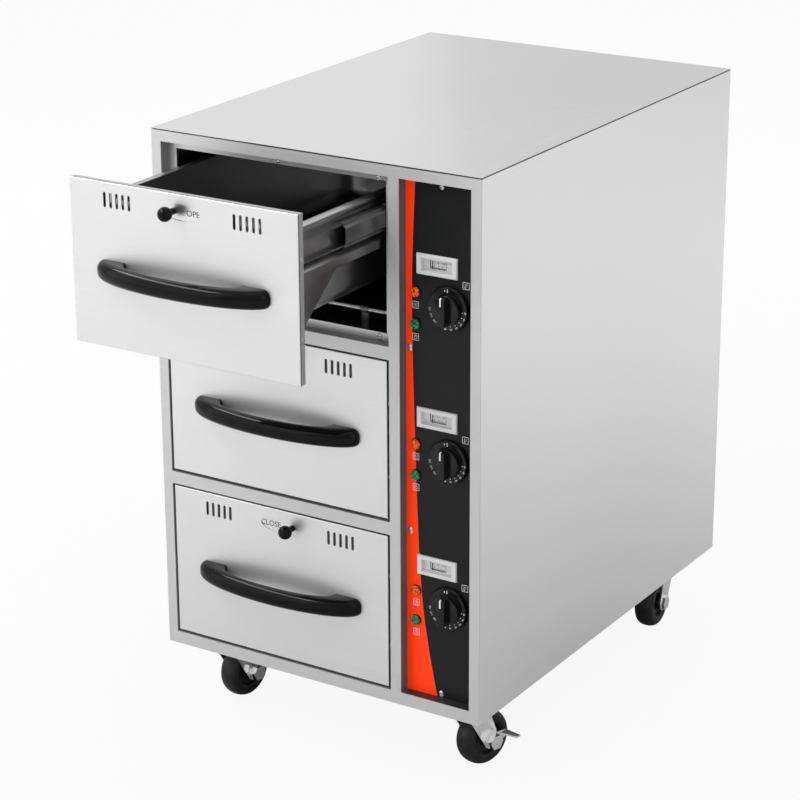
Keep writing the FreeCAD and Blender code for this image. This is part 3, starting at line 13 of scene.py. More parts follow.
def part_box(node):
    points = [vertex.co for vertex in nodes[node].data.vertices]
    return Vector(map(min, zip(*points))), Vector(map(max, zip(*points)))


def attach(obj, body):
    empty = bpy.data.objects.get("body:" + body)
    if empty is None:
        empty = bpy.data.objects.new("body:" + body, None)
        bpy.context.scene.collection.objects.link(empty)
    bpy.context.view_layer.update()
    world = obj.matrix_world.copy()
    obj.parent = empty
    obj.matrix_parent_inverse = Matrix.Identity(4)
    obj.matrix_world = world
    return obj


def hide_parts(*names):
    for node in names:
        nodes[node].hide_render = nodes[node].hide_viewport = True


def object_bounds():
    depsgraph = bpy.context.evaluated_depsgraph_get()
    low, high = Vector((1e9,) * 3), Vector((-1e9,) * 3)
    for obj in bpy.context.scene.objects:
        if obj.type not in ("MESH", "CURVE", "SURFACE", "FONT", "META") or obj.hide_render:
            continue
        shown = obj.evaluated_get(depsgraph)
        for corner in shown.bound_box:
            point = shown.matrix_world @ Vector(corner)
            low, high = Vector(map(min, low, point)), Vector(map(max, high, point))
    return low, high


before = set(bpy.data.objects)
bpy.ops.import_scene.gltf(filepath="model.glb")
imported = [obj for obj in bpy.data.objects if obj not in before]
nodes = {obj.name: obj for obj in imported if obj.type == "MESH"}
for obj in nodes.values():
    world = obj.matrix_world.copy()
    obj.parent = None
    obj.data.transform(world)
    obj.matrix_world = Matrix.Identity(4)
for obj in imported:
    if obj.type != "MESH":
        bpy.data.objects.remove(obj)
cad_box = [list(corner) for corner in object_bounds()]
LEVELS = ("bottom", "middle", "top")

# %% [markdown]
# ## Measuring from the frame
# Each new piece takes its place from the solid it stands for, so two helpers read the middle and the
# extent of a node. The cabinet's front plane and the control strip's face are used again and again.

# %% Places and sizes read from the frame
def middle_of(node):
    """Middle of a node's box."""
    low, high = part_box(node)
    return (low + high) / 2


def extent_of(node):
    """How far a node's box reaches along X, Y and Z."""
    low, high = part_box(node)
    return high - low


front_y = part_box("front_frame")[0].y
plate_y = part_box("control_plate")[0].y

# %% [markdown]
# ## Sums on sockets
# A procedural finish is arithmetic on sockets. A small class wraps a socket and overloads Python's
# operators, so that `1 - mask * 0.3` builds its own Math nodes. Every other node comes from one
# method that takes its type, its settings and the values or links of its inputs.

# %% A socket that can be added, scaled and compared
def maths(operation, first=True):
    """A method that gives the socket and its partner to one Math node."""
    def method(self, *others):
        values = [self, *others] if first else [*others, self]
        return self.finish.node("ShaderNodeMath", {"operation": operation}, dict(enumerate(values)))
    return method


class Wire:
    """An output socket in a material's node tree, used like a number."""

    def __init__(self, finish, socket):
        self.finish, self.socket = finish, socket

    __add__ = __radd__ = maths("ADD")
    __mul__ = __rmul__ = maths("MULTIPLY")
    __sub__, __rsub__ = maths("SUBTRACT"), maths("SUBTRACT", first=False)
    __truediv__, __pow__ = maths("DIVIDE"), maths("POWER")
    __gt__, __lt__ = maths("GREATER_THAN"), maths("LESS_THAN")
    size, most, least = maths("ABSOLUTE"), maths("MAXIMUM"), maths("MINIMUM")


class Finish:
    """A material in the making: its tree, its shader and the point that is being coloured."""

    def __init__(self, name, **plain):
        self.material = bpy.data.materials.new(name)
        self.material.use_nodes = True
        self.tree = self.material.node_tree
        self.shader = self.tree.nodes["Principled BSDF"]
        for socket, value in plain.items():
            self.shader.inputs[socket.replace("_", " ")].default_value = value

    def node(self, kind, settings=None, inputs=None, output=0):
        made = self.tree.nodes.new(kind)
        for key, value in (settings or {}).items():
            setattr(made, key, value)
        for key, value in (inputs or {}).items():
            self.feed(made.inputs[key], value)
        return Wire(self, made.outputs[output])

    def feed(self, socket, value):
        if isinstance(value, Wire):
            self.tree.links.new(value.socket, socket)
        else:
            socket.default_value = value

    def to(self, socket, value):
        self.feed(self.shader.inputs[socket], value)

    def point(self):
        return self.node("ShaderNodeTexCoord", output="Object")

    def axes(self):
        parts = self.node("ShaderNodeSeparateXYZ", inputs={0: self.point()})
        return [Wire(self, out) for out in parts.socket.node.outputs]

    def noise(self, scale, stretch=(1, 1, 1), detail=2.0):
        """Noise in lines or clouds; stretch packs it closer along an axis."""
        spread = self.node("ShaderNodeMapping", inputs={"Vector": self.point(), "Scale": stretch})
        return self.node("ShaderNodeTexNoise", inputs={"Vector": spread, "Scale": scale, "Detail": detail})

    def blend(self, factor, first, second):
        """One colour where the factor is 0, the other where it is 1."""
        colours = {0: factor, 6: first, 7: second}
        return self.node("ShaderNodeMix", {"data_type": "RGBA"}, colours, output=2)

    def bump(self, height, depth):
        """Small relief; its depth is in metres."""
        self.to("Normal", self.node("ShaderNodeBump", inputs={"Height": height, "Distance": depth}))


def grey(level, warm=0.0):
    """An almost neutral colour with an alpha of 1; warm tips it towards red."""
    return (level * (1 + warm), level, level * (1 - warm), 1.0)


def changed(colour, times=1.0, more=0.0):
    """A colour whose three channels are scaled and raised alike."""
    return tuple(channel * times + more for channel in colour[:3]) + (1.0,)


print("helpers for finishes are ready")

# %% [markdown]
# ## Brushed steel
# The casing is satin stainless sheet, brushed along one direction with a fine belt. What shows is a
# soft, wide highlight with hair-fine lines. Noise packed tightly across the lines and stretched along
# them gives those hairs. They change the roughness most, the colour a little and the surface least.
# A second, broad noise keeps the big panels from looking computed.

# %% Brushed steel
HAIRS_ACROSS, HAIRS_ALONG = 900, 4


def brushed_steel(name, tone, roughness, along, metal=1.0, depth=0.000004, cloud=0.03, hair=0.045,
                  spread=0.16, shade_of=None):
    """Steel sheet brushed along x, y or z; shade_of gives a mask of what is painted darker as shade, and how
    dark.
    """
    steel = Finish(name, Metallic=metal)
    packing = [HAIRS_ALONG if axis == along else HAIRS_ACROSS for axis in "xyz"]
    lines = steel.noise(1.0, packing, detail=3.0)
    broad = steel.noise(3.0, detail=1.0)
    shade = 1.0 + (lines - 0.5) * hair * 2 + (broad - 0.5) * cloud * 2
    plain = steel.blend(shade * 0.5, grey(0.0), grey(2 * tone))
    if shade_of:
        mask, dark, shiny = shade_of(*steel.axes())
        plain = steel.blend(mask, plain, dark)
        steel.to("Metallic", metal - mask * (metal - shiny))
    steel.to("Base Color", plain)
    steel.to("Roughness", roughness + (lines - 0.5) * spread + (broad - 0.5) * 0.06)
    steel.bump(lines, depth)
    return steel.material


print("cells of noise per metre, across and along:", HAIRS_ACROSS, HAIRS_ALONG)

# %% [markdown]
# ## Painted shade on parts of a sheet
# Some solids are painted darker where shade falls on them: the walls inside an opening, the cut edge of
# the top sheet, the part of a shutter behind the vents, and the tray's edge behind a drawer's skin, next
# to a real dark joint. The place of a point tells them apart: a function gives the mask, the colour
# inside it and how metallic that colour is.

# %% Masks of painted shade by place, and the steel of each panel
SKIN_T = 0.0012
JOINT_END = 0.0032
EDGE_T = 0.0003
BETWEEN_VENTS = 0.058
drawer_x = middle_of("drawer_front_top").x
roof_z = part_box("top_panel")[1].z
recess_left = middle_of("control_plate").x - 0.050
wall_from, wall_to = recess_left - 0.007, recess_left + 0.002


def painted_recess_shade(x, y, z):
    """Painted shade on the walls of the openings: grey round the drawers, near black beyond the band, and
    cool beside it against the red its glow casts.
    """
    left_wall = (x > wall_from) * (x < wall_to)
    finish = left_wall.finish
    tone = finish.blend(x > wall_to, grey(0.28), grey(0.025))
    return y > front_y + SKIN_T, finish.blend(left_wall, tone, (0.062, 0.135, 0.145, 1)), 0.0


def painted_edge_shade(x, y, z):
    """The cut edge of the top sheet, painted dark as shade."""
    return z < roof_z - EDGE_T, grey(0.05), 0.0


def painted_vent_shade(x, y, z):
    """The parts of a shutter plate that lie behind the vents are blackened as painted shade."""
    return (x - drawer_x).size() > BETWEEN_VENTS, grey(0.012), 0.0


def seam_and_shade_behind(face_y):
    """Behind a drawer's skin: a dark joint, then the tray's edge painted duller as shade."""
    def shade(x, y, z):
        mask = y > face_y + SKIN_T
        return mask, mask.finish.blend(y > face_y + JOINT_END, grey(0.03), grey(0.40)), 0.6
    return shade


# Painted light and shade: the stainless panels are one steel, but each gets its own tone, set to how
# brightly its face is lit.
front_steel = brushed_steel("front_steel", 0.74, 0.40, "x", metal=0.75, shade_of=seam_and_shade_behind(front_y))
top_front_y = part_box("vent_shutter_top")[0].y - (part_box("vent_shutter_bottom")[0].y - front_y)
# Painted shade: the open drawer's front is a darker copy of the front steel, offsetting its nearness to the
# key lamp.
open_front_shaded_steel = brushed_steel("open_front_shaded_steel", 0.70, 0.40, "x", metal=0.75,
                                 shade_of=seam_and_shade_behind(top_front_y))
stile_steel = brushed_steel("stile_steel", 0.60, 0.45, "z", metal=0.45, shade_of=painted_recess_shade)
side_steel = brushed_steel("side_steel", 0.97, 0.30, "y", depth=3e-7, hair=0.02, spread=0.08)
# Painted shade: the left side is the same sheet as the right, given a darker tone so the key lamp's
# highlight stays soft.
left_shaded_steel = brushed_steel("left_shaded_steel", 0.60, 0.30, "y", depth=3e-7, hair=0.02, spread=0.08)
top_steel = brushed_steel("top_steel", 0.73, 0.25, "y", depth=4e-7, spread=0.10, shade_of=painted_edge_shade)
inner_steel = brushed_steel("inner_steel", 0.30, 0.28, "y", depth=6e-7, hair=0.02, spread=0.05)
stop_steel = brushed_steel("stop_steel", 0.62, 0.38, "x", metal=0.6)
back_steel = brushed_steel("back_steel", 0.62, 0.40, "x")
pan_steel = brushed_steel("pan_steel", 0.46, 0.30, "x", depth=3e-7, cloud=0.06, hair=0.02, spread=0.04)
shutter_steel = brushed_steel("shutter_steel", 0.72, 0.30, "x", shade_of=painted_vent_shade)
print("steel finishes:", sum(look.name.endswith("_steel") for look in bpy.data.materials))

# %% [markdown]
# ## Plated steel
# Slides, frames, forks and screws are mild steel with bright zinc plating, which is bluer than
# stainless and slightly blotchy. Soft clouds of noise in colour and roughness are enough at this size.

# %% Zinc, chrome and the heater's sheath
def plated_steel(name, tone, roughness, patch=60.0, spread=0.10):
    """Bright plating with soft blotches."""
    zinc = Finish(name, Metallic=1.0)
    patches = zinc.noise(patch, detail=4.0)
    fine = zinc.noise(1400.0)
    dull, bright = grey(tone * (1 - spread), -0.01), grey(tone * (1 + spread), 0.01)
    zinc.to("Base Color", zinc.blend(patches, dull, bright))
    zinc.to("Roughness", roughness + (patches - 0.5) * 0.2 + (fine - 0.5) * 0.06)
    zinc.bump(fine, 0.000003)
    return zinc.material


# Painted shade: the slides' and frames' plating gets a dark tone, as they stand in shadow inside the
# cabinet; the casters' stays bright.
slide_shaded_zinc = plated_steel("slide_shaded_zinc", 0.24, 0.40, spread=0.03)
frame_shaded_zinc = plated_steel("frame_shaded_zinc", 0.31, 0.34, spread=0.03)
caster_zinc = plated_steel("caster_zinc", 0.93, 0.17, patch=90.0, spread=0.06)
screw_chrome = plated_steel("screw_chrome", 0.62, 0.16, patch=300.0)
sheath_steel = plated_steel("sheath_steel", 0.62, 0.22, patch=40.0, spread=0.2)
print("plated finishes: 5")

# %% [markdown]
# ## Plastics and rubber
# Handles and knobs are glossy black phenolic: a clear, sharp highlight over a barely uneven skin. The
# tyres are plain black rubber, matt and a little dusty. The thermometers' bezels are white plastic
# with a fine moulded grain. One helper makes them all, because they differ only in colour, gloss,
# grain and dust.

# %% Moulded finishes
def moulded(name, colour, roughness, grain=0.00001, grain_scale=500.0, dust=0.0, coat=0.0, shine=0.3):
    """Moulded plastic or rubber; dust is how much the colour is greyed in patches."""
    plastic = Finish(name, Coat_Weight=coat, Coat_Roughness=0.06, Specular_IOR_Level=shine)
    fine = plastic.noise(grain_scale)
    broad = plastic.noise(45.0, detail=3.0)
    if dust:
        skin = plastic.blend((broad - 0.35) * 1.4, colour, changed(colour, more=dust * 0.25))
    else:
        skin = plastic.blend(broad, changed(colour, 0.94), colour)
    plastic.to("Base Color", skin)
    plastic.to("Roughness", roughness + (fine - 0.5) * 0.08 + (broad - 0.5) * 0.06)
    plastic.bump(fine, grain)
    return plastic.material


handle_black = moulded("handle_black", grey(0.0025), 0.09, grain=0.000002, shine=0.14)
knob_black = moulded("knob_black", grey(0.006), 0.22, grain=0.000004, coat=0.1, shine=0.25)
tyre_rubber = moulded("tyre_rubber", grey(0.009), 0.36, grain=0.00002, dust=0.02, shine=0.3)
wheel_centre = moulded("wheel_centre", grey(0.008), 0.3)
bezel_white = moulded("bezel_white", (0.80, 0.81, 0.80, 1.0), 0.30, grain=0.000006)
card_white = moulded("card_white", (0.72, 0.73, 0.72, 1.0), 0.6, grain=0.000004)
lamp_black = moulded("lamp_black", grey(0.012), 0.3)
inlet_grey = moulded("inlet_grey", grey(0.06), 0.45)
print_white = moulded("print_white", grey(0.86), 0.5, grain=0.000002)
print_black = moulded("print_black", grey(0.006), 0.6, grain=0.000002, shine=0.1)
print("moulded finishes: 10")

# %% [markdown]
# ## The printed control strip
# The strip is a satin black overlay with an orange band down its left edge. The band is narrowest at
# about four fifths of the height and widens in a long curve towards the bottom. A Float Curve node
# turns the height of a point into the band's width there, and a comparison with the point's own X
# paints it. That keeps the edge sharp, which an image would not.

# %% Black overlay with an orange band
RAIL_H, PLATE_TUCK, OPENING_W = 0.017, 0.003, 0.1
opening_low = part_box("front_frame")[0].z + RAIL_H
opening_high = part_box("control_plate")[1].z - PLATE_TUCK
band_left = middle_of("control_plate").x - 0.05025

film = Finish("strip_overlay", Specular_IOR_Level=0.18, Emission_Strength=0.3)
x, _, z = film.axes()
share = (z - opening_low) / (opening_high - opening_low)
edge = film.node("ShaderNodeFloatCurve", inputs={"Factor": 1.0, "Value": share})
line = edge.socket.node.mapping.curves[0]
marks = [(0.0, 0.42), (0.05, 0.348), (0.116, 0.268), (0.18, 0.208), (0.27, 0.16), (0.35, 0.135),
         (0.42, 0.117), (0.52, 0.096), (0.62, 0.076), (0.72, 0.063), (0.8, 0.061), (0.9, 0.08),
         (1.0, 0.112)]
line.points[0].location, line.points[1].location = marks[0], marks[-1]
for mark in marks[1:-1]:
    line.points.new(*mark)
edge.socket.node.mapping.update()
band = x - band_left < edge * OPENING_W
fine = film.noise(700.0)
film.to("Base Color", film.blend(band, (0.0115, 0.012, 0.0125, 1), (1.0, 0.052, 0.004, 1)))
# Painted glow: the orange band also gives off a little light of its own colour, so that it reads bright.
film.to("Emission Color", film.blend(band, grey(0.0), (1.0, 0.03, 0.001, 1)))
film.to("Roughness", 0.36 + (fine - 0.5) * 0.1)
film.bump(fine, 0.000005)
strip_overlay = film.material

# %% [markdown]
# ## Lenses, glass and wool
# Pilot lamps are tinted clear plastic. A little emission of the same tint stands for the light that
# such a lens gathers. The thermometer's window is clear, so it is mostly alpha.

# %% Clear and tinted finishes
def tinted(name, colour, glow):
    """Jewel-like lens plastic: painted light and dark patches of one tint stand for lit and shaded facets.
    """
    lens = Finish(name, Coat_Weight=0.25, Coat_Roughness=0.03, Specular_IOR_Level=0.25,
                  Emission_Strength=glow)
    facets = lens.noise(420.0, detail=0.0)
    tint = lens.blend((facets - 0.5) * 5 + 0.55, changed(colour, 0.25), colour)
    lens.to("Base Color", tint)
    lens.to("Emission Color", tint)
    lens.to("Roughness", 0.1 + facets * 0.15)
    return lens.material


amber_lens = tinted("amber_lens", (0.95, 0.11, 0.0, 1), 0.3)
green_lens = tinted("green_lens", (0.0, 0.30, 0.12, 1), 0.15)

clear = Finish("window_clear", Roughness=0.04, IOR=1.49, Alpha=0.05)
clear.to("Base Color", clear.blend(clear.noise(30.0), grey(0.86), grey(0.95)))
window_clear = clear.material

wool = Finish("mineral_wool", Roughness=0.95)
fibres = wool.noise(900.0, (1, 1, 6), detail=6.0)
wool.to("Base Color", wool.blend(fibres, (0.55, 0.47, 0.28, 1), (0.82, 0.76, 0.56, 1)))
wool.bump(fibres, 0.0004)
mineral_wool = wool.material
print("clear finishes:", amber_lens.name, green_lens.name, window_clear.name)

# %% [markdown]
# ## Dressing the solids
# Flat sheet metal is already right as a solid, so it keeps its mesh and only gets its finish. A table
# of finishes by the start of a node's name keeps this readable: the first entry that fits is taken,
# so the one open drawer front comes before the other two.

# %% Finish of each solid that stays
looks = {"front_frame": stile_steel, "left_side_panel": left_shaded_steel, "right_side_panel": side_steel,
         "top_panel": top_steel, "base_panel": back_steel, "back_panel": back_steel,
         "stop_frame": stop_steel, "compartment_liner": inner_steel, "insulation_slabs": mineral_wool,
         "heating_elements": sheath_steel, "heater_clips": slide_shaded_zinc, "slide_": slide_shaded_zinc,
         "thermostat_knob_": knob_black, "thermostats": slide_shaded_zinc, "control_plate": strip_overlay,
         "thermometer_bezels": bezel_white, "thermometer_windows": window_clear,
         "thermometer_scales": card_white, "thermometer_needle_": print_black, "lamp_bodies": lamp_black,
         "amber_lamp_lenses": amber_lens, "green_lamp_lenses": green_lens, "panel_screws": screw_chrome,
         "power_inlet": inlet_grey, "drawer_front_top": open_front_shaded_steel, "drawer_front_": front_steel,
         "drawer_handle_": handle_black, "drawer_frame_": frame_shaded_zinc, "drawer_pan_": pan_steel,
         "vent_shutter_": shutter_steel, "vent_knob_": handle_black, "caster_wheel_": tyre_rubber,
         "caster_": caster_zinc, "brake_pedal_": caster_zinc}
for name, solid in nodes.items():
    solid.data.materials.clear()
    solid.data.materials.append(next(look for first, look in looks.items() if name.startswith(first)))
print("dressed", len(nodes), "solids")

# %% [markdown]
# ## Working as by hand
# New pieces are modelled with the same operators that the mouse would call. These act on all that is
# selected, so everything is deselected first. Faces and edges are picked by their place or direction.

# %% Selecting and finishing helpers
SAME_PLACE = 0.000005
FACING = (math.pi / 2, 0, 0)


def start(add, **options):
    """Add a primitive with nothing else selected, and return it."""
    bpy.ops.object.select_all(action="DESELECT")
    add(**options)
    return bpy.context.object


def take(piece):
    """Select one piece alone and make it the active one."""
    bpy.ops.object.select_all(action="DESELECT")
    bpy.context.view_layer.objects.active = piece
    piece.select_set(True)


def settle(move=True):
    """Write the place, turn and scale of the selected piece into its mesh."""
    bpy.ops.object.transform_apply(location=move, rotation=True, scale=True)


def edit(piece):
    """Go into edit mode on one piece alone, with nothing picked."""
    take(piece)
    bpy.ops.object.mode_set(mode="EDIT")
    bpy.ops.mesh.select_all(action="DESELECT")


def pick_all():
    """Select everything of the piece in edit mode."""
    bpy.ops.mesh.select_all(action="SELECT")


def pull(*step):
    """Extrude the picked faces by a step along X, Y and Z."""
    bpy.ops.mesh.extrude_region_move(TRANSFORM_OT_translate={"value": step})


def round_off(radius, segments):
    """Bevel the picked edges."""
    bpy.ops.mesh.bevel(offset=radius, segments=segments, affect="EDGES")


def block(size, place, turn=0.0):
    """A box of a size round a place, turned about Y."""
    box = start(bpy.ops.mesh.primitive_cube_add, size=1, location=place, rotation=(0, turn, 0))
    box.scale = size
    settle()
    return box


def pick(piece, mode, wanted):
    """Select the edges or faces that pass a test; return how many."""
    bpy.ops.mesh.select_mode(type=mode)
    bpy.ops.mesh.select_all(action="DESELECT")
    bpy.ops.object.mode_set(mode="OBJECT")
    items = piece.data.edges if mode == "EDGE" else piece.data.polygons
    flags = [bool(wanted(item)) for item in items]
    items.foreach_set("select", flags)
    bpy.ops.object.mode_set(mode="EDIT")
    return sum(flags)


def ends(piece, edge):
    """Places of an edge's two ends."""
    return [piece.data.vertices[v].co for v in edge.vertices]


def done(piece, name, finish, smooth=30):
    """Leave edit mode, point the faces outwards, smooth, name and finish the piece."""
    if bpy.context.mode != "OBJECT":
        pick_all()
        bpy.ops.mesh.remove_doubles(threshold=SAME_PLACE)
        bpy.ops.mesh.normals_make_consistent(inside=False)
        bpy.ops.object.mode_set(mode="OBJECT")
    take(piece)
    settle()
    bpy.ops.object.shade_smooth_by_angle(angle=math.radians(smooth))
    piece.name = piece.data.name = name
    piece.data.materials.clear()
    piece.data.materials.append(finish)
    return piece


def modify(piece, kind, **settings):
    """Add a modifier and apply it at once."""
    take(piece)
    modifier = piece.modifiers.new(kind.lower(), kind)
    for key, value in settings.items():
        setattr(modifier, key, value)
    bpy.ops.object.modifier_apply(modifier=modifier.name)


def copy_to(piece, name, place, turn=None):
    """A copy with its own mesh, which holds its place; the object stays at the origin."""
    twin = piece.copy()
    twin.data = piece.data.copy()
    bpy.context.scene.collection.objects.link(twin)
    twin.name = twin.data.name = name
    if turn:
        twin.rotation_euler = turn
    twin.location = place
    take(twin)
    settle()
    return twin


def join(pieces, name):
    """Several pieces as one; each keeps its own finish."""
    bpy.ops.object.select_all(action="DESELECT")
    for piece in pieces:
        piece.select_set(True)
    bpy.context.view_layer.objects.active = pieces[0]
    bpy.ops.object.join()
    whole = bpy.context.object
    whole.name = whole.data.name = name
    return whole


def drop(piece):
    """Delete a model that only served as the pattern for its copies."""
    bpy.data.objects.remove(piece, do_unlink=True)


print("hand tools are ready")

# %% [markdown]
# ## The bow handles
# Each drawer has a broad crescent grip of glossy black plastic. Seen from above it lies between a
# long half ellipse and a deep, squarish gap for the fingers. The plan is drawn as a chain of
# vertices, filled and extruded. Then the long edges are beveled: widely in front, so the grip rolls
# over like a tube and ends in round noses, and a little inside the gap.

# %% One handle, then a copy for each drawer
handle_box = extent_of("drawer_handle_top")
HALF_LENGTH, OUT, HEIGHT = handle_box.x / 2, handle_box.y, handle_box.z
GAP_HALF, GAP_OUT, GAP_POWER = 0.084, 0.0245, 2.3
FRONT_ROUND, GAP_ROUND = 0.0098, 0.0034
OUTER_STEPS, GAP_STEPS = 56, 40


def bow_plan():
    """The crescent from above: outer edge from left to right, then the gap's edge back."""
    turns = [math.pi * k / OUTER_STEPS for k in range(OUTER_STEPS + 1)]
    outer = [(-HALF_LENGTH * math.cos(a), -OUT * math.sin(a)) for a in turns]
    gap = []
    for k in range(GAP_STEPS + 1):
        a = math.pi * k / GAP_STEPS
        across, out = math.cos(a), math.sin(a)
        gap.append((GAP_HALF * math.copysign(abs(across) ** (2 / GAP_POWER), across),
                    -GAP_OUT * out ** (2 / GAP_POWER)))
    return outer + gap


def draw_chain(points):
    """A chain of vertices through the points, in edit mode; returns the piece."""
    piece = start(bpy.ops.mesh.primitive_plane_add, size=0.001)
    edit(piece)
    pick_all()
    bpy.ops.mesh.merge(type="CENTER")
    pick_all()
    bpy.ops.transform.translate(value=points[0])
    for before, after in zip(points, points[1:]):
        step = tuple(b - a for a, b in zip(before, after))
        bpy.ops.mesh.extrude_vertices_move(TRANSFORM_OT_translate={"value": step})
    pick_all()
    bpy.ops.mesh.remove_doubles(threshold=SAME_PLACE)
    pick_all()
    return piece


def make_bow():
    """The grip: its plan is filled and raised, then both sets of long edges are rolled."""
    plan = [(x, y, -HEIGHT / 2) for x, y in bow_plan()]
    piece = draw_chain(plan + plan[:1])
    bpy.ops.mesh.edge_face_add()
    pull(0, 0, HEIGHT)

    def rolled(edge, half, out, power):
        """A level edge with both ends on the curve |x / half| ** power + |y / out| ** power = 1."""
        a, b = ends(piece, edge)
        sums = [abs(v.x / half) ** power + abs(v.y / out) ** power for v in (a, b)]
        return abs(a.z - b.z) < 0.001 and all(abs(total - 1) < 0.02 for total in sums)

    print("front edges:", pick(piece, "EDGE", lambda edge: rolled(edge, HALF_LENGTH, OUT, 2)))
    round_off(FRONT_ROUND, 7)
    print("gap edges:", pick(piece, "EDGE", lambda edge: rolled(edge, GAP_HALF, GAP_OUT, GAP_POWER)))
    round_off(GAP_ROUND, 4)
    return done(piece, "bow_pattern", handle_black, smooth=40)


bow = make_bow()
print("handle pattern:", len(bow.data.polygons), "faces")
for level in LEVELS:
    low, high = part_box("drawer_handle_" + level)
    grip = copy_to(bow, "bow_handle_" + level, ((low.x + high.x) / 2, high.y, (low.z + high.z) / 2))
    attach(grip, "drawer_" + level)
    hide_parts("drawer_handle_" + level)
drop(bow)

# %% [markdown]
# ## The ball knobs of the vent shutters
# A black plastic ball on a short neck slides each vent plate. A finer sphere than the solid's takes
# the sharp highlight better, and a neck with a small collar joins it.

# %% Ball, neck and collar
BALL_GROWN, NECK_R, NECK_SHORT, COLLAR_T = 0.0008, 0.0042, 0.0002, 0.0012


def make_ball_knob(level):
    """A ball just larger than the solid's, with a collar towards the plate, and its neck."""
    low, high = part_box("vent_knob_" + level)
    radius = (high.x - low.x) / 2 + BALL_GROWN
    centre = Vector(((low.x + high.x) / 2, low.y + radius - BALL_GROWN, (low.z + high.z) / 2))
    ball = start(bpy.ops.mesh.primitive_uv_sphere_add, radius=radius, segments=40, ring_count=24,
                 location=centre, rotation=FACING)
    edit(ball)
    pick(ball, "FACE", lambda face: face.center.z < -radius * 0.93)
    bpy.ops.mesh.inset(thickness=radius * 0.05)
    pull(0, COLLAR_T, 0)
    ball = done(ball, "ball", handle_black, smooth=60)
    neck = start(bpy.ops.mesh.primitive_cylinder_add, vertices=32, radius=NECK_R,
                 depth=high.y - centre.y - NECK_SHORT, rotation=FACING,
                 location=(centre.x, (high.y + centre.y - NECK_SHORT) / 2, centre.z))
    edit(neck)
    pick(neck, "EDGE", lambda edge: abs(ends(neck, edge)[0].z - ends(neck, edge)[1].z) > 0.005)
    bpy.ops.mesh.subdivide(number_cuts=3)
    neck = done(neck, "neck", handle_black, smooth=50)
    return join([ball, neck], "shutter_ball_" + level)


for level in LEVELS:
    ball = make_ball_knob(level)
    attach(ball, "shutter_" + level)
    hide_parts("vent_knob_" + level)
print("ball knobs on", ", ".join(LEVELS))

# %% [markdown]
# ## Printed and stamped words
# The plates are marked in plain capitals beside the knob. Words and figures start as text, become a
# mesh less than a tenth of a millimetre thick and are laid on their surface, because real letters
# stay sharper than an image. New text faces up, so it is turned to face the front.

# %% A helper for lettering, and the words on the shutter plates
PRINT_T, PRINT_LIFT, WORD_OFFSET, WORD_H = 0.00008, 0.00004, 0.033, 0.0106


def lettering(words, size, place, finish):
    """Text on a plane that faces the front; its middle is at the place."""
    text = start(bpy.ops.object.text_add, location=(0, 0, 0))
    text.data.body = words
    text.data.size = size
    text.data.align_x, text.data.align_y = "CENTER", "CENTER"
    text.data.extrude = PRINT_T / 2
    text.data.resolution_u = 3
    text.rotation_euler = FACING
    text.location = place
    bpy.ops.object.convert(target="MESH")
    return done(bpy.context.object, "words", finish)


for level in LEVELS:
    knob = middle_of("vent_knob_" + level)
    face_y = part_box("vent_shutter_" + level)[0].y - PRINT_LIFT
    both = [lettering(word, WORD_H, (knob.x + offset, face_y, knob.z), print_black)
            for word, offset in (("CLOSE", -WORD_OFFSET), ("OPEN", WORD_OFFSET))]
    words = join(both, "shutter_words_" + level)
    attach(words, "shutter_" + level)

# %% [markdown]
# ## The pans
# Each drawer carries a deep pressed pan with soft corners and a flat rim, rolled over the frame. A
# cube is the start: its upright and bottom edges are beveled round, its top is removed, and the rim
# is extruded outwards and down. Solidify comes last, so the inner corners follow the outer ones.

# %% A pressed pan with a rolled rim
def make_pan(level):
    """The pan's outer skin, from rim to floor, and its thickness last."""
    low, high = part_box("drawer_pan_" + level)
    middle = (low + high) / 2
    rim, lip, draft, thick = 0.011, 0.008, 0.008, 0.001
    corner, foot = 0.030, 0.015
    roll, roll_drop, edge_gap = 0.002, 0.0011, 0.0006
    half_x, half_y = (high.x - low.x) / 2 - rim, (high.y - low.y) / 2 - rim
    pan = block((2 * half_x, 2 * half_y, high.z - low.z - thick / 2), middle)
    edit(pan)
    pick(pan, "FACE", lambda face: face.normal.z < -0.9)
    bpy.ops.transform.resize(value=((half_x - draft) / half_x, (half_y - draft) / half_y, 1))
    pick(pan, "EDGE", lambda edge: abs(ends(pan, edge)[0].z - ends(pan, edge)[1].z) > 0.05)
    round_off(corner, 10)
    pick(pan, "EDGE", lambda edge: max(v.z for v in ends(pan, edge)) < low.z + 0.002)
    round_off(foot, 6)
    pick(pan, "FACE", lambda face: face.normal.z > 0.9)
    bpy.ops.mesh.delete(type="ONLY_FACE")
    top_z = max(v.co.z for v in pan.data.vertices)

    def at_rim(edge):
        return min(v.z for v in ends(pan, edge)) > top_z - 0.0002

    pick(pan, "EDGE", at_rim)
    bpy.ops.mesh.extrude_edges_move()
    wide_x, wide_y = (half_x + rim - roll) / half_x, (half_y + rim - roll) / half_y
    bpy.ops.transform.resize(value=(wide_x, wide_y, 1), center_override=middle)
    bpy.ops.mesh.extrude_edges_move(TRANSFORM_OT_translate={"value": (0, 0, -roll_drop)})
    grow = (half_x + rim - edge_gap) / (half_x + rim - roll)
    bpy.ops.transform.resize(value=(grow, grow, 1), center_override=middle)
    bpy.ops.mesh.extrude_edges_move(TRANSFORM_OT_translate={"value": (0, 0, thick - lip)})
    pan = done(pan, "pressed_pan_" + level, pan_steel, smooth=50)
    modify(pan, "SOLIDIFY", thickness=thick, offset=-1.0)
    return pan


for level in LEVELS:
    pan = make_pan(level)
    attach(pan, "drawer_" + level)
    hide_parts("drawer_pan_" + level)

# %% [markdown]
# ## The thermostat knobs
# A knob is a wide printed skirt and a round body on one axis, with a grip bar across. The round shapes
# grow from one circle by inset and extrude, as on a lathe, so that every step stays on the axis. The
# bar is a block with rounded edges.
# Figures for the temperature stand on the skirt, and a white line on the bar's end points at them.

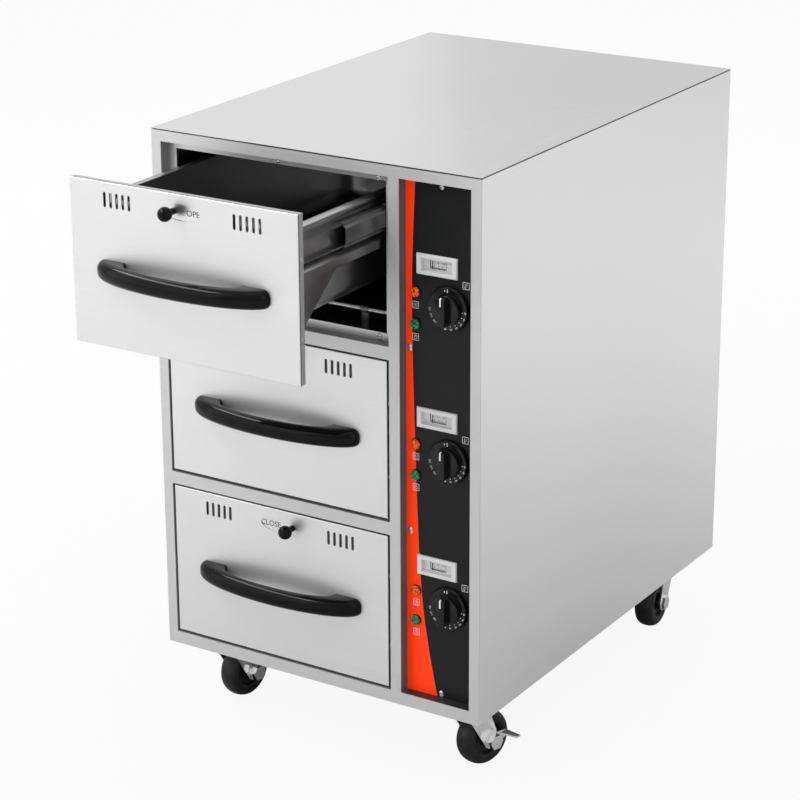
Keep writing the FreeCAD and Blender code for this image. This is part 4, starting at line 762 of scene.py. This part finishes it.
# %% The knob's pattern
KNOB_SKIRT_R, KNOB_BODY_R, SKIRT_T, BODY_T = 0.0283, 0.0195, 0.005, 0.007
SKIRT_SIDE, SKIRT_TIP, SKIRT_SLOPE, SKIRT_IN = 0.0016, 0.0006, 0.0012, 0.0018
BAR_W, BAR_SHORT, FACE_ROUND, CORNER_ROUND = 0.0112, 0.0024, 0.0022, 0.002
POINTER_W, POINTER_L, POINTER_IN = 0.0022, 0.0090, 0.0072
FIGURE_R, DOT_R, TICK_R, FIGURE_H = 0.0247, 0.0212, 0.0232, 0.0034
DOT_SIZE, TICK_W, INK_T = 0.00062, 0.0011, 0.00012
FIRST_ANGLE, ANGLE_STEP = 92, 19
KNOB_SEAT = 0.0006


def ring_out(step, grow):
    """Extrude the picked face along -Y and scale it about the axis."""
    pull(0, -step, 0)
    bpy.ops.transform.resize(value=(grow, 1, grow))


def make_knob_turned():
    """Skirt and body, grown from one circle along the axis."""
    disc = start(bpy.ops.mesh.primitive_circle_add, vertices=96, radius=KNOB_SKIRT_R, fill_type="NGON",
                 rotation=FACING)
    settle(move=False)
    edit(disc)
    pick_all()
    ring_out(SKIRT_SIDE, 1.0)
    ring_out(SKIRT_T - SKIRT_SIDE - SKIRT_TIP, (KNOB_SKIRT_R - SKIRT_SLOPE) / KNOB_SKIRT_R)
    ring_out(SKIRT_TIP, (KNOB_SKIRT_R - SKIRT_IN) / (KNOB_SKIRT_R - SKIRT_SLOPE))
    bpy.ops.mesh.inset(thickness=KNOB_SKIRT_R - SKIRT_IN - KNOB_BODY_R)
    for step, grow in ((0.0004, 0.985), (BODY_T - 0.0012, 0.975), (0.0006, 0.955), (0.0002, 0.93)):
        ring_out(step, grow)
    return done(disc, "turned", knob_black)


def make_knob_bar(out):
    """The grip across the body, with its front edges rounded more than its corners."""
    bar = block((BAR_W, out - SKIRT_T, 2 * KNOB_BODY_R - BAR_SHORT), (0, -(SKIRT_T + out) / 2, 0))
    edit(bar)
    pick(bar, "EDGE", lambda edge: all(v.y < -out + 0.0001 for v in ends(bar, edge)))
    round_off(FACE_ROUND, 4)
    pick(bar, "EDGE", lambda edge: abs(ends(bar, edge)[0].y - ends(bar, edge)[1].y) > 0.006)
    round_off(CORNER_ROUND, 3)
    return done(bar, "bar", knob_black, smooth=40)


def make_pointer_line(out):
    """White line at the top of the bar's face, carried over its end."""
    line = block((POINTER_W, INK_T, POINTER_L), (0, -out - INK_T / 4, KNOB_BODY_R - POINTER_IN))
    edit(line)
    pick(line, "FACE", lambda face: face.normal.z > 0.9)
    pull(0, 0.0008, 0.0011)
    pull(0, 0.0018, 0.0007)
    return done(line, "pointer_line", print_white, smooth=50)


def make_knob_figures():
    """Figures and dots round the skirt, read clockwise, and two ticks at the zero mark."""
    pieces = []
    face_y = -SKIRT_T - PRINT_LIFT
    for k in range(10):
        angle = math.radians(FIRST_ANGLE + ANGLE_STEP * k)
        across, up = math.sin(angle), math.cos(angle)
        text = lettering(str(30 + 10 * k), FIGURE_H, (0, 0, 0), print_white)
        figure = copy_to(text, "figure", (FIGURE_R * across, face_y, FIGURE_R * up), (0, angle, 0))
        drop(text)
        dot = start(bpy.ops.mesh.primitive_cylinder_add, vertices=12, radius=DOT_SIZE, depth=INK_T,
                    rotation=FACING, location=(DOT_R * across, face_y, DOT_R * up))
        pieces += [figure, done(dot, "dot", print_white)]
    for angle, long in ((0.0, 0.0044), (-0.16, 0.0022)):
        place = (TICK_R * math.sin(angle), face_y, TICK_R * math.cos(angle))
        pieces.append(done(block((TICK_W, INK_T, long), place, angle), "tick", print_white))
    return join(pieces, "figures")


knob_out = plate_y - KNOB_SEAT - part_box("thermostat_knob_top")[0].y
knob_pattern = join([make_knob_turned(), make_knob_bar(knob_out)], "knob_pattern")
marks_pattern = join([make_knob_figures(), make_pointer_line(knob_out)], "marks_pattern")
for level in LEVELS:
    centre = middle_of("thermostat_knob_" + level)
    seat = (centre.x, plate_y - KNOB_SEAT, centre.z)
    knob = copy_to(knob_pattern, "turning_knob_" + level, seat)
    marks = copy_to(marks_pattern, "knob_marks_" + level, seat)
    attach(knob, "knob_" + level)
    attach(marks, "knob_" + level)
    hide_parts("thermostat_knob_" + level)
drop(knob_pattern)
drop(marks_pattern)

# %% [markdown]
# ## The pilot lamps
# Each lens is a small faceted jewel. A smooth half ball would look like a drop of paint, so a sphere
# with few segments is flattened and cut at its equator: it catches the light in separate facets.

# %% Faceted lenses
LENS_GROWN, FACET_BORDER = 1.40, 0.00022


def half_dome(radius, segments, rings, flatness):
    """The front half of a flattened sphere, closed behind; it is left in edit mode."""
    dome = start(bpy.ops.mesh.primitive_uv_sphere_add, radius=radius, segments=segments,
                 ring_count=rings, rotation=FACING)
    settle(move=False)
    edit(dome)
    pick_all()
    bpy.ops.mesh.bisect(plane_co=(0, 0, 0), plane_no=(0, 1, 0), clear_outer=True, use_fill=True)
    pick_all()
    bpy.ops.transform.resize(value=(1, flatness, 1), center_override=(0, 0, 0))
    return dome


def make_jewel(radius, out, finish):
    """A coarse dome whose facets each have a border."""
    jewel = half_dome(radius, 12, 10, out / radius)
    pick(jewel, "FACE", lambda face: face.normal.y < -0.2)
    bpy.ops.mesh.inset(thickness=FACET_BORDER, use_individual=True)
    return done(jewel, "jewel", finish, smooth=12)


lens_w = extent_of("amber_lamp_lenses").x
lamp_x = middle_of("amber_lamp_lenses").x
rim_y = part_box("lamp_bodies")[0].y
dome = rim_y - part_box("amber_lamp_lenses")[0].y
for tint, finish in (("amber", amber_lens), ("green", green_lens)):
    node = tint + "_lamp_lenses"
    low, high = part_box(node)
    pattern = make_jewel(lens_w / 2 * LENS_GROWN, dome, finish)
    heights = [low.z + lens_w / 2 + (high.z - low.z - lens_w) * k / 2 for k in range(3)]
    jewels = [copy_to(pattern, "jewel", (lamp_x, rim_y, z)) for z in heights]
    row = join(jewels, tint + "_jewels")
    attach(row, "cabinet")
    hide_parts(node)
    drop(pattern)

# %% [markdown]
# ## Scales and symbols
# The thermometers carry a short printed scale, and small outlined symbols explain the lamps and the
# knobs. An image could show them, but strips, which are flattened cubes, and rings, which are thin
# toruses, stay sharp in a close view.

# %% Strips, rings and the thermometer scales
CARD_H, CARD_LIFT, STRIP_T = 0.016, 0.00006, 0.0001
BORDER_X, BORDER_Z, BORDER_W = 0.0208, 0.0070, 0.0004
SHORT_MARK, LONG_MARK, MARK_W = 0.0028, 0.0044, 0.0006


def strip(x, y, z, wide, high, finish, turn=0.0):
    """A flat printed bar on a plane that faces the front."""
    return done(block((wide, STRIP_T, high), (x, y, z), turn), "strip", finish)


def ring(x, y, z, radius, finish):
    """A thin printed circle."""
    hoop = start(bpy.ops.mesh.primitive_torus_add, location=(x, y, z), rotation=FACING,
                 major_radius=radius, minor_radius=0.00028, major_segments=24, minor_segments=6)
    hoop.scale = (1, 1, 0.2)
    return done(hoop, "ring", finish, smooth=40)


def make_scale(x, y, z):
    """Baseline, ticks, figures and a border round the scale."""
    left, right, base = x - 0.0113, x + 0.0107, z - 0.0046
    pieces = [strip((left + right) / 2, y, base, right - left, 0.0007, print_black),
              strip(left, y, z + 0.0004, 0.0011, 0.0105, print_black),
              strip(right, y, z + 0.0004, 0.0005, 0.0105, print_black)]
    for k in range(1, 12):
        tall = SHORT_MARK if k % 3 else LONG_MARK
        pieces.append(strip(left + (right - left) * k / 12, y, base + tall / 2, MARK_W, tall, print_black))
    for k, words in enumerate(("0", "50", "100")):
        place = (left + 0.0038 + (right - left - 0.0076) * k / 2, y, base + 0.0072)
        pieces.append(lettering(words, 0.0034, place, print_black))
    for side in (-1, 1):
        pieces.append(strip(x + side * BORDER_X, y, z, BORDER_W, 2 * BORDER_Z, card_line))
        pieces.append(strip(x, y, z + side * BORDER_Z, 2 * BORDER_X, BORDER_W, card_line))
    return join(pieces, "scale")


card_line = moulded("card_line", grey(0.38), 0.6, grain=0.000002)
scale_low, scale_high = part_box("thermometer_scales")
scale_x = (scale_low.x + scale_high.x) / 2
scale_z = [scale_low.z + CARD_H / 2 + (scale_high.z - scale_low.z - CARD_H) * k / 2 for k in range(3)]
scales = [make_scale(scale_x, scale_low.y - CARD_LIFT, z) for z in scale_z]
scale_print = join(scales, "thermometer_print")
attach(scale_print, "cabinet")

# %% [markdown]
# ## Outlined symbols on the strip
# Beside each lamp and knob stands a square of about 9 mm with heat waves for the amber lamp, a power
# sign for the green one and a small thermometer for the knob.

# %% Symbols
SQUARE, SQUARE_LINE, WAVE_LINE, WAVE_L, WAVE_LEAN = 0.0085, 0.00065, 0.00045, 0.0017, 0.45
HEAT_DROP, POWER_DROP, DIAL_DROP = 0.0535, 0.0942, 0.0188
ink_y = plate_y - CARD_LIFT


def bar(x, z, wide, high, turn=0.0):
    """A white bar on the strip."""
    return strip(x, ink_y, z, wide, high, print_white, turn)


def square(x, z):
    """The outline round a symbol."""
    half, full = SQUARE / 2, SQUARE + SQUARE_LINE
    sides = [bar(x + s * half, z, SQUARE_LINE, full) for s in (-1, 1)]
    return sides + [bar(x, z + s * half, full, SQUARE_LINE) for s in (-1, 1)]


def heat_symbol(x, z):
    """Three bent waves over a line."""
    pieces = square(x, z)
    for k in (-1, 0, 1):
        for part, lean in ((-1, WAVE_LEAN), (0, -WAVE_LEAN), (1, WAVE_LEAN)):
            pieces.append(bar(x + k * 0.0021, z + 0.0006 + part * 0.0013, WAVE_LINE, WAVE_L, lean))
    return pieces + [bar(x, z - 0.0026, 0.0058, WAVE_LINE)]


def power_symbol(x, z):
    """A ring with a stroke at its top."""
    return square(x, z) + [ring(x, ink_y, z - 0.0002, 0.0022, print_white),
                           bar(x, z + 0.0016, 0.0005, 0.0026)]


def dial_symbol(x, z):
    """A small thermometer with three lines beside it."""
    pieces = square(x, z) + [bar(x - 0.0011, z + 0.0007, 0.0006, 0.0042),
                             ring(x - 0.0011, ink_y, z - 0.0021, 0.0008, print_white)]
    return pieces + [bar(x + 0.0012, z + 0.0022 - k * 0.0014, 0.0018, 0.0004) for k in range(3)]


symbols = []
strip_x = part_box("front_frame")[1].x - 0.064
lamp_side, knob_side = strip_x - 0.0365, strip_x + 0.0340
for z in scale_z:
    symbols += heat_symbol(lamp_side, z - HEAT_DROP)
    symbols += power_symbol(lamp_side, z - POWER_DROP)
    symbols += dial_symbol(knob_side, z - DIAL_DROP)
symbol_print = join(symbols, "strip_symbols")
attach(symbol_print, "cabinet")
print("symbols:", 3 * len(scale_z))

# %% [markdown]
# ## Screws with a cross recess
# A pan-head screw is a flattened dome with a cross-shaped recess. A painted cross would stay flat in
# the light, so a Boolean cuts two thin blocks out of half a flattened sphere. This one head is then
# copied to every screw of the frame.

# %% One screw head and its copies
HEAD_R, HEAD_FLATNESS, HEAD_OUT = 0.0034, 0.52, 0.0018
SLOT_L, SLOT_W, SLOT_DEEP = 0.0034, 0.0008, 0.0022
SAME_SCREW = (0.005, 0.012, 0.005)
TWIST = 0.6


def make_screw():
    """A flattened dome with two crossed slots cut out of it."""
    head = done(half_dome(HEAD_R, 28, 16, HEAD_FLATNESS), "head", screw_chrome, smooth=40)
    for wide, high in ((SLOT_L, SLOT_W), (SLOT_W, SLOT_L)):
        blade = block((wide, SLOT_DEEP, high), (0, -HEAD_OUT, 0))
        modify(head, "BOOLEAN", object=blade, operation="DIFFERENCE", solver="EXACT")
        drop(blade)
    return head


def same_screw(a, b):
    """Two vertices are on one screw when they are this close in X, Y and Z."""
    return all(abs(p - q) < reach for p, q, reach in zip(a, b, SAME_SCREW))


def screw_places():
    """Face centres of the solid screws: (x, y, z, faces the back)."""
    seen = {}
    for vertex in nodes["panel_screws"].data.vertices:
        point = tuple(vertex.co)
        first = next((place for place in seen if same_screw(place, point)), point)
        seen.setdefault(first, []).append(point)
    places = []
    for points in seen.values():
        low = [min(p[k] for p in points) for k in range(3)]
        high = [max(p[k] for p in points) for k in range(3)]
        back = low[1] > middle_of("top_panel").y
        seat = high[1] - HEAD_OUT if back else low[1] + HEAD_OUT
        places.append(((low[0] + high[0]) / 2, seat, (low[2] + high[2]) / 2, back))
    return places


screw = make_screw()
heads = [copy_to(screw, "head", place[:3], (0, TWIST * k, math.pi if place[3] else 0))
         for k, place in enumerate(screw_places())]
print("screws:", len(heads))
screw_heads = join(heads, "screw_heads")
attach(screw_heads, "cabinet")
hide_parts("panel_screws")
drop(screw)

# %% [markdown]
# ## The wheels
# A caster's wheel is a wide rubber tyre with soft shoulders on a dished plastic centre with a raised
# hub. A cylinder would need many bevels to look soft, so each outline is drawn once and spun round
# the axle. The copies stand in the middles of the frame's wheels, and a table tells how they are
# turned, because each caster points its own way.

# %% Tyre and centre, spun from an outline
def spun(outline, name, finish, steps=72):
    """An outline in (along the axle, radius), spun once round the X axis."""
    wheel = draw_chain([(along, 0, radius) for along, radius in outline])
    bpy.ops.mesh.spin(steps=steps, angle=math.tau, center=(0, 0, 0), axis=(1, 0, 0))
    return done(wheel, name, finish, smooth=32)


def shoulder(half, r, fall, steps=14, power=2.3):
    """The tyre's side rolling over from (half, r - fall) almost to the middle of the crown."""
    angles = [math.pi / 2 * k / steps for k in range(steps)]
    return [(half * math.cos(a) ** (2 / power), r + fall * (math.sin(a) ** (2 / power) - 1)) for a in angles]


def mirrored(side):
    """The same outline on the other side of the wheel, read back to front."""
    return [(-along, radius) for along, radius in reversed(side)]


TYRE_R, TYRE_W, RIM_R, BORE_R = 0.0375, 0.028, 0.024, 0.00405
BEAD, CROWN_DROP = 0.0015, 0.0095
half = TYRE_W / 2
side = [(half - BEAD, RIM_R), (half, RIM_R + BEAD)] + shoulder(half, TYRE_R, CROWN_DROP)
tyre = spun(side + [(0, TYRE_R)] + mirrored(side) + side[:1], "tyre", tyre_rubber)
web, hub = half - 0.006, half + 0.0015
face = [(half - 0.0016, RIM_R - 0.0001), (half - 0.0022, RIM_R - 0.0018), (web, RIM_R - 0.0032),
        (web, 0.0130), (web + 0.0006, 0.0122), (half + 0.0012, 0.0112), (hub, 0.0106), (hub, BORE_R)]
disc = spun(face + mirrored(face) + face[:1], "disc", wheel_centre)
wheel_pattern = join([tyre, disc], "wheel_pattern")
turns = {"front_left": -7.0, "front_right": -17.0, "rear_left": 176.0, "rear_right": 185.0}
for corner, turn in turns.items():
    node = "caster_wheel_" + corner
    wheel = copy_to(wheel_pattern, "rolling_wheel_" + corner, middle_of(node), (0, 0, math.radians(turn)))
    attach(wheel, "wheel_" + corner)
    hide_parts(node)
drop(wheel_pattern)

# %% [markdown]
# ## Floor, light and background
# The cabinet stands in a bright, plain studio. To the camera the floor is nearly white and the world
# is white, while reflections and the light that falls on the object stay at a plain level. Two
# large soft lamps, one in front to the left and one above, draw the broad highlights on the steel;
# the right side is left darker. The floor's colour carries a painted shade: it is paler far away
# than under the cabinet, polished sides mirror it, and that shades them from top to bottom.

# %% Floor
FLOOR_SIZE, FLOOR_BELOW = 24, 0.0005
NEAR_SHADE_TONE, TONE_PER_METRE, FAR = 0.48, 0.19, 2.7
CAMERA_WHITE = 0.92
floor = start(bpy.ops.mesh.primitive_plane_add, size=FLOOR_SIZE, location=(0, 0, -FLOOR_BELOW))
edit(floor)
pick_all()
bpy.ops.mesh.subdivide(number_cuts=4)
studio = Finish("studio_floor", Roughness=0.8)
dust = studio.noise(2.0)
far_x, far_y, _ = studio.axes()
distance = (far_x * far_x + far_y * far_y) ** 0.5
# Painted shade: the floor's colour darkens towards the cabinet.
tone = NEAR_SHADE_TONE + distance.least(FAR) * TONE_PER_METRE
studio.to("Base Color", studio.blend(tone + (dust - 0.5) * 0.04, grey(0.0), grey(1.0)))
rays = studio.node("ShaderNodeLightPath").socket.node.outputs
seen = Wire(studio, rays["Is Camera Ray"])
white = studio.node("ShaderNodeEmission", inputs={"Color": grey(1.0), "Strength": 1.0})
lit = Wire(studio, studio.shader.outputs[0])
mixed = studio.node("ShaderNodeMixShader", inputs={0: seen * CAMERA_WHITE, 1: lit, 2: white})
studio.tree.links.new(mixed.socket, studio.tree.nodes["Material Output"].inputs["Surface"])
floor = done(floor, "studio_floor", studio.material)
print("floor:", FLOOR_SIZE, "m wide, tone", NEAR_SHADE_TONE, "to", round(NEAR_SHADE_TONE + FAR * TONE_PER_METRE, 2))

# %% [markdown]
# ## The world
# A light path node tells which kind of ray asks for the background's level: the camera sees pure
# white, a reflection sees a plain studio that is a little darker on one side, and everything else
# gets the moderate light that keeps colours as they are written.

# %% World
STUDIO_TONE, EAST_DARKER, UP_BRIGHTER, SOFT_LIGHT = 0.68, 0.10, 0.10, 0.58
world = bpy.data.worlds.new("studio")
bpy.context.scene.world = world
world.use_nodes = True
sky = Finish.__new__(Finish)
sky.material, sky.tree = world, world.node_tree
background = sky.tree.nodes["Background"]
paths = sky.node("ShaderNodeLightPath").socket.node.outputs
camera_ray, clear_ray, glossy = [Wire(sky, paths[kind]) for kind in
                                 ("Is Camera Ray", "Is Transmission Ray", "Is Glossy Ray")]
direct = camera_ray.most(clear_ray)
heading = sky.node("ShaderNodeSeparateXYZ", inputs={0: sky.node("ShaderNodeTexCoord", output="Generated")})
east, _, up = [Wire(sky, out) for out in heading.socket.node.outputs]
studio_tone = STUDIO_TONE - east * EAST_DARKER + up * UP_BRIGHTER
level = direct + (1 - direct) * (glossy * studio_tone + (1 - glossy) * SOFT_LIGHT)
background.inputs["Color"].default_value = grey(1.0)
sky.feed(background.inputs["Strength"], level)
print("studio tone", STUDIO_TONE, "in reflections,", SOFT_LIGHT, "for soft light")

# %% [markdown]
# ## The lamps
# All lamps are large rectangles, because a soft source gives steel broad, calm highlights. The long
# narrow one draws the bright line on the black handles, and the one behind lights the far end of the
# top sheet. All face the middle of the cabinet.

# %% Lamps
def soft_lamp(name, offset, size, power):
    """An area lamp at an offset from the cabinet's middle, which it faces."""
    place = middle + Vector(offset)
    lamp = start(bpy.ops.object.light_add, type="AREA", location=place)
    lamp.name = name
    lamp.data.shape = "RECTANGLE"
    lamp.data.size, lamp.data.size_y = size
    lamp.data.energy = power
    lamp.rotation_euler = (middle - place).to_track_quat("-Z", "Y").to_euler()


AIM_HEIGHT = 0.4
middle = (Vector(cad_box[0]) + Vector(cad_box[1])) / 2
middle.z = AIM_HEIGHT
lamps = {"key": ((-1.3, -1.7, 0.9), (2.5, 2.5), 15), "overhead": ((0.2, 0.3, 2.6), (4.2, 4.2), 26),
         "fill": ((2.6, -1.2, 0.9), (1.2, 1.6), 6), "strip": ((-1.3, -0.9, 1.9), (2.4, 0.35), 30),
         "behind": ((-2.4, 2.5, 1.5), (1.7, 1.9), 1.7)}
for name, (offset, size, power) in lamps.items():
    soft_lamp(name, offset, size, power)
print("lamps:", ", ".join(lamps))

# %% [markdown]
# ## The camera
# The camera looks down on the front right corner from about 19 degrees. Its long lens keeps upright
# edges almost parallel, and a small shift frames the object without turning the camera.

# %% Camera
AZIMUTH, ELEVATION, ROLL = math.radians(33.06), math.radians(19.26), math.radians(-0.57)
FRAME_PX, FOCAL_PX, CENTRE_X_PX, CENTRE_Y_PX = 800.0, 2588.0, 362.3, 372.3
SENSOR_MM = 36.0
level_reach = math.cos(ELEVATION)
back = Vector((math.sin(AZIMUTH) * level_reach, -math.cos(AZIMUTH) * level_reach, math.sin(ELEVATION)))
camera = start(bpy.ops.object.camera_add, location=(1.7030, -2.7419, 1.5833))
camera.rotation_euler = (back.to_track_quat("Z", "Y").to_matrix() @ Matrix.Rotation(ROLL, 3, "Z")).to_euler()
camera.data.sensor_width = SENSOR_MM
camera.data.lens = FOCAL_PX * SENSOR_MM / FRAME_PX
camera.data.shift_x = 0.5 - CENTRE_X_PX / FRAME_PX
camera.data.shift_y = CENTRE_Y_PX / FRAME_PX - 0.5
camera.data.clip_end = 60.0
bpy.context.scene.camera = camera
bpy.context.scene.view_settings.view_transform = "Standard"
print("lens:", round(camera.data.lens, 1), "mm")

# %% [markdown]
# ## The last update
# The box of the solids was taken at the start. Here the view layer is brought up to date.

# %% Bring the view layer up to date
bpy.context.view_layer.update()
